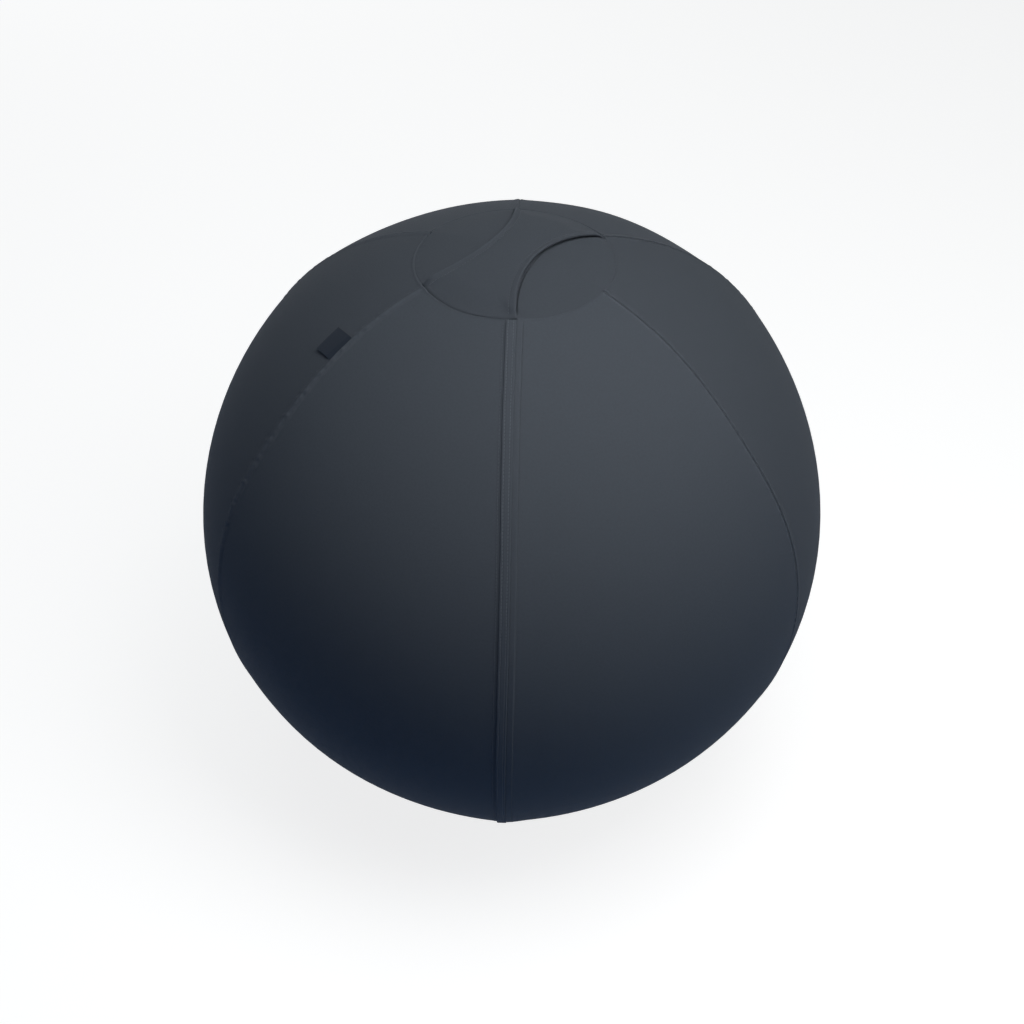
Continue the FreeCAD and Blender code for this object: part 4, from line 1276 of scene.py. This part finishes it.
class BALL_OT_stage(bpy.types.Operator):
    """Floor, lamps, world and camera"""

    bl_idname = "sitting_ball.stage"
    bl_label = "Stage"

    # Name, azimuth and elevation in degrees, distance and side in metres, power in watts, tint.
    LAMPS = (
        ("key_lamp", 40, 65, 1.3, 0.7, 6.2, (1.0, 0.97, 0.98)),
        ("side_lamp", 60, 40, 1.8, 1.0, 4.4, (0.92, 1.0, 0.98)),
        ("top_lamp", 0, 88, 3.0, 2.4, 21.2, (0.91, 1.0, 0.95)),
        ("left_lamp", 280, 12, 3.0, 2.0, 3.3, (0.10, 0.40, 1.0)),
        ("back_lamp", 200, 12, 3.0, 2.0, 8.0, (1.0, 1.0, 1.0)),
    )

    def execute(self, context):
        scene = context.scene
        stage = scene.ball_stage
        self.floor(scene, stage)
        self.world(scene, stage)
        for lamp in self.LAMPS:
            self.lamp(scene, *lamp)
        self.camera(scene, stage)
        scene.view_settings.view_transform = "Standard"
        return {"FINISHED"}

    def seen(self, tree):
        """1 for what the camera sees, straight or in a mirror or glass, 0 for light on the ball."""
        path = tree.nodes.new("ShaderNodeLightPath").outputs
        bent = calc(tree, "MAXIMUM", path["Is Glossy Ray"], path["Is Transmission Ray"])
        return calc(tree, "MAXIMUM", path["Is Camera Ray"], bent)

    def floor(self, scene, stage):
        """Pale floor: white in the picture, with the ball's shadow, and dim to the ball."""
        half = stage.floor_size / 2
        corners = [(-half, -half, 0), (half, -half, 0), (half, half, 0), (-half, half, 0)]
        mesh = bpy.data.meshes.new("floor")
        mesh.from_pydata(corners, [], [(0, 1, 2, 3)])
        floor = bpy.data.objects.new("floor", mesh)
        scene.collection.objects.link(floor)
        look = bpy.data.materials.new("floor_paint")
        look.use_nodes = True
        tree = look.node_tree
        tree.nodes.clear()
        pale = add(tree, "ShaderNodeBsdfPrincipled", {
            "Base Color": (*stage.floor_paint, 1), "Roughness": 0.9, "Specular IOR Level": 0.0,
            "Emission Color": (1, 1, 1, 1), "Emission Strength": stage.floor_glow})
        dim = add(tree, "ShaderNodeBsdfDiffuse", {"Color": (*stage.floor_bounce, 1)})
        mixed = add(tree, "ShaderNodeMixShader",
                    {0: self.seen(tree), 1: dim.outputs[0], 2: pale.outputs[0]})
        add(tree, "ShaderNodeOutputMaterial", {0: mixed.outputs[0]})
        mesh.materials.append(look)

    def world(self, scene, stage):
        """White behind the floor's far edge, a faint even light on the ball."""
        world = bpy.data.worlds.new("studio")
        scene.world = world
        world.use_nodes = True
        tree = world.node_tree
        back = tree.nodes["Background"]
        tint = add(tree, "ShaderNodeMix", {0: self.seen(tree), 6: (*stage.ambient, 1), 7: (1, 1, 1, 1)},
                   data_type="RGBA")
        tree.links.new(tint.outputs[2], back.inputs["Color"])
        back.inputs["Strength"].default_value = 1.0

    def away(self, azimuth, elevation):
        """Direction from the ball, with the azimuth from the zip to the right."""
        flat = math.cos(elevation)
        return Vector((math.sin(azimuth) * flat, -math.cos(azimuth) * flat, math.sin(elevation)))

    def lamp(self, scene, name, azimuth, elevation, distance, side, power, tint):
        """A square area lamp that faces the ball."""
        data = bpy.data.lights.new(name, "AREA")
        data.shape = "SQUARE"
        data.size = side
        data.energy = power
        data.color = tint
        made = bpy.data.objects.new(name, data)
        scene.collection.objects.link(made)
        away = self.away(math.radians(azimuth), math.radians(elevation))
        made.location = CENTRE + away * distance
        made.rotation_euler = away.to_track_quat("Z", "Y").to_euler()

    def camera(self, scene, stage):
        """Camera at the photograph's angle."""
        away = self.away(stage.azimuth, stage.elevation)
        right = Vector((math.cos(stage.azimuth), math.sin(stage.azimuth), 0))
        up = away.cross(right)
        turn, lean = math.cos(stage.roll), math.sin(stage.roll)
        side = right * turn - up * lean
        head = right * lean + up * turn
        place = CENTRE + away * stage.distance
        data = bpy.data.cameras.new("camera")
        data.sensor_width = 36
        data.lens = stage.lens
        data.shift_y = stage.shift
        made = bpy.data.objects.new("camera", data)
        scene.collection.objects.link(made)
        made.matrix_world = Matrix((
            (side.x, head.x, away.x, place.x),
            (side.y, head.y, away.y, place.y),
            (side.z, head.z, away.z, place.z),
            (0, 0, 0, 1)))
        scene.camera = made


OPERATORS = (BALL_OT_panels, BALL_OT_round_panels, BALL_OT_handle, BALL_OT_lap, BALL_OT_label,
             BALL_OT_zip, BALL_OT_inside, BALL_OT_stage)


class BALL_PT_panel(bpy.types.Panel):
    """Builders of the ball in the 3D view's sidebar"""

    bl_idname = "BALL_PT_panel"
    bl_label = "Sitting ball"
    bl_space_type = "VIEW_3D"
    bl_region_type = "UI"
    bl_category = "Sitting ball"

    def draw(self, context):
        for name, kind in SETTINGS.items():
            box = self.layout.box()
            for key in kind.__annotations__:
                box.prop(getattr(context.scene, name), key)
        for operator in OPERATORS:
            self.layout.operator(operator.bl_idname)


def register():
    for kind in (*SETTINGS.values(), *OPERATORS, BALL_PT_panel):
        bpy.utils.register_class(kind)
    for name, kind in SETTINGS.items():
        setattr(bpy.types.Scene, name, PointerProperty(type=kind))


def unregister():
    for name in SETTINGS:
        delattr(bpy.types.Scene, name)
    for kind in reversed((*SETTINGS.values(), *OPERATORS, BALL_PT_panel)):
        bpy.utils.unregister_class(kind)


def main():
    register()
    bpy.ops.sitting_ball.panels()
    bpy.ops.sitting_ball.round_panels()
    bpy.ops.sitting_ball.handle()
    bpy.ops.sitting_ball.lap()
    bpy.ops.sitting_ball.label()
    bpy.ops.sitting_ball.zip()
    bpy.ops.sitting_ball.inside()
    bpy.ops.sitting_ball.stage()


if __name__ == "__main__":
    main()
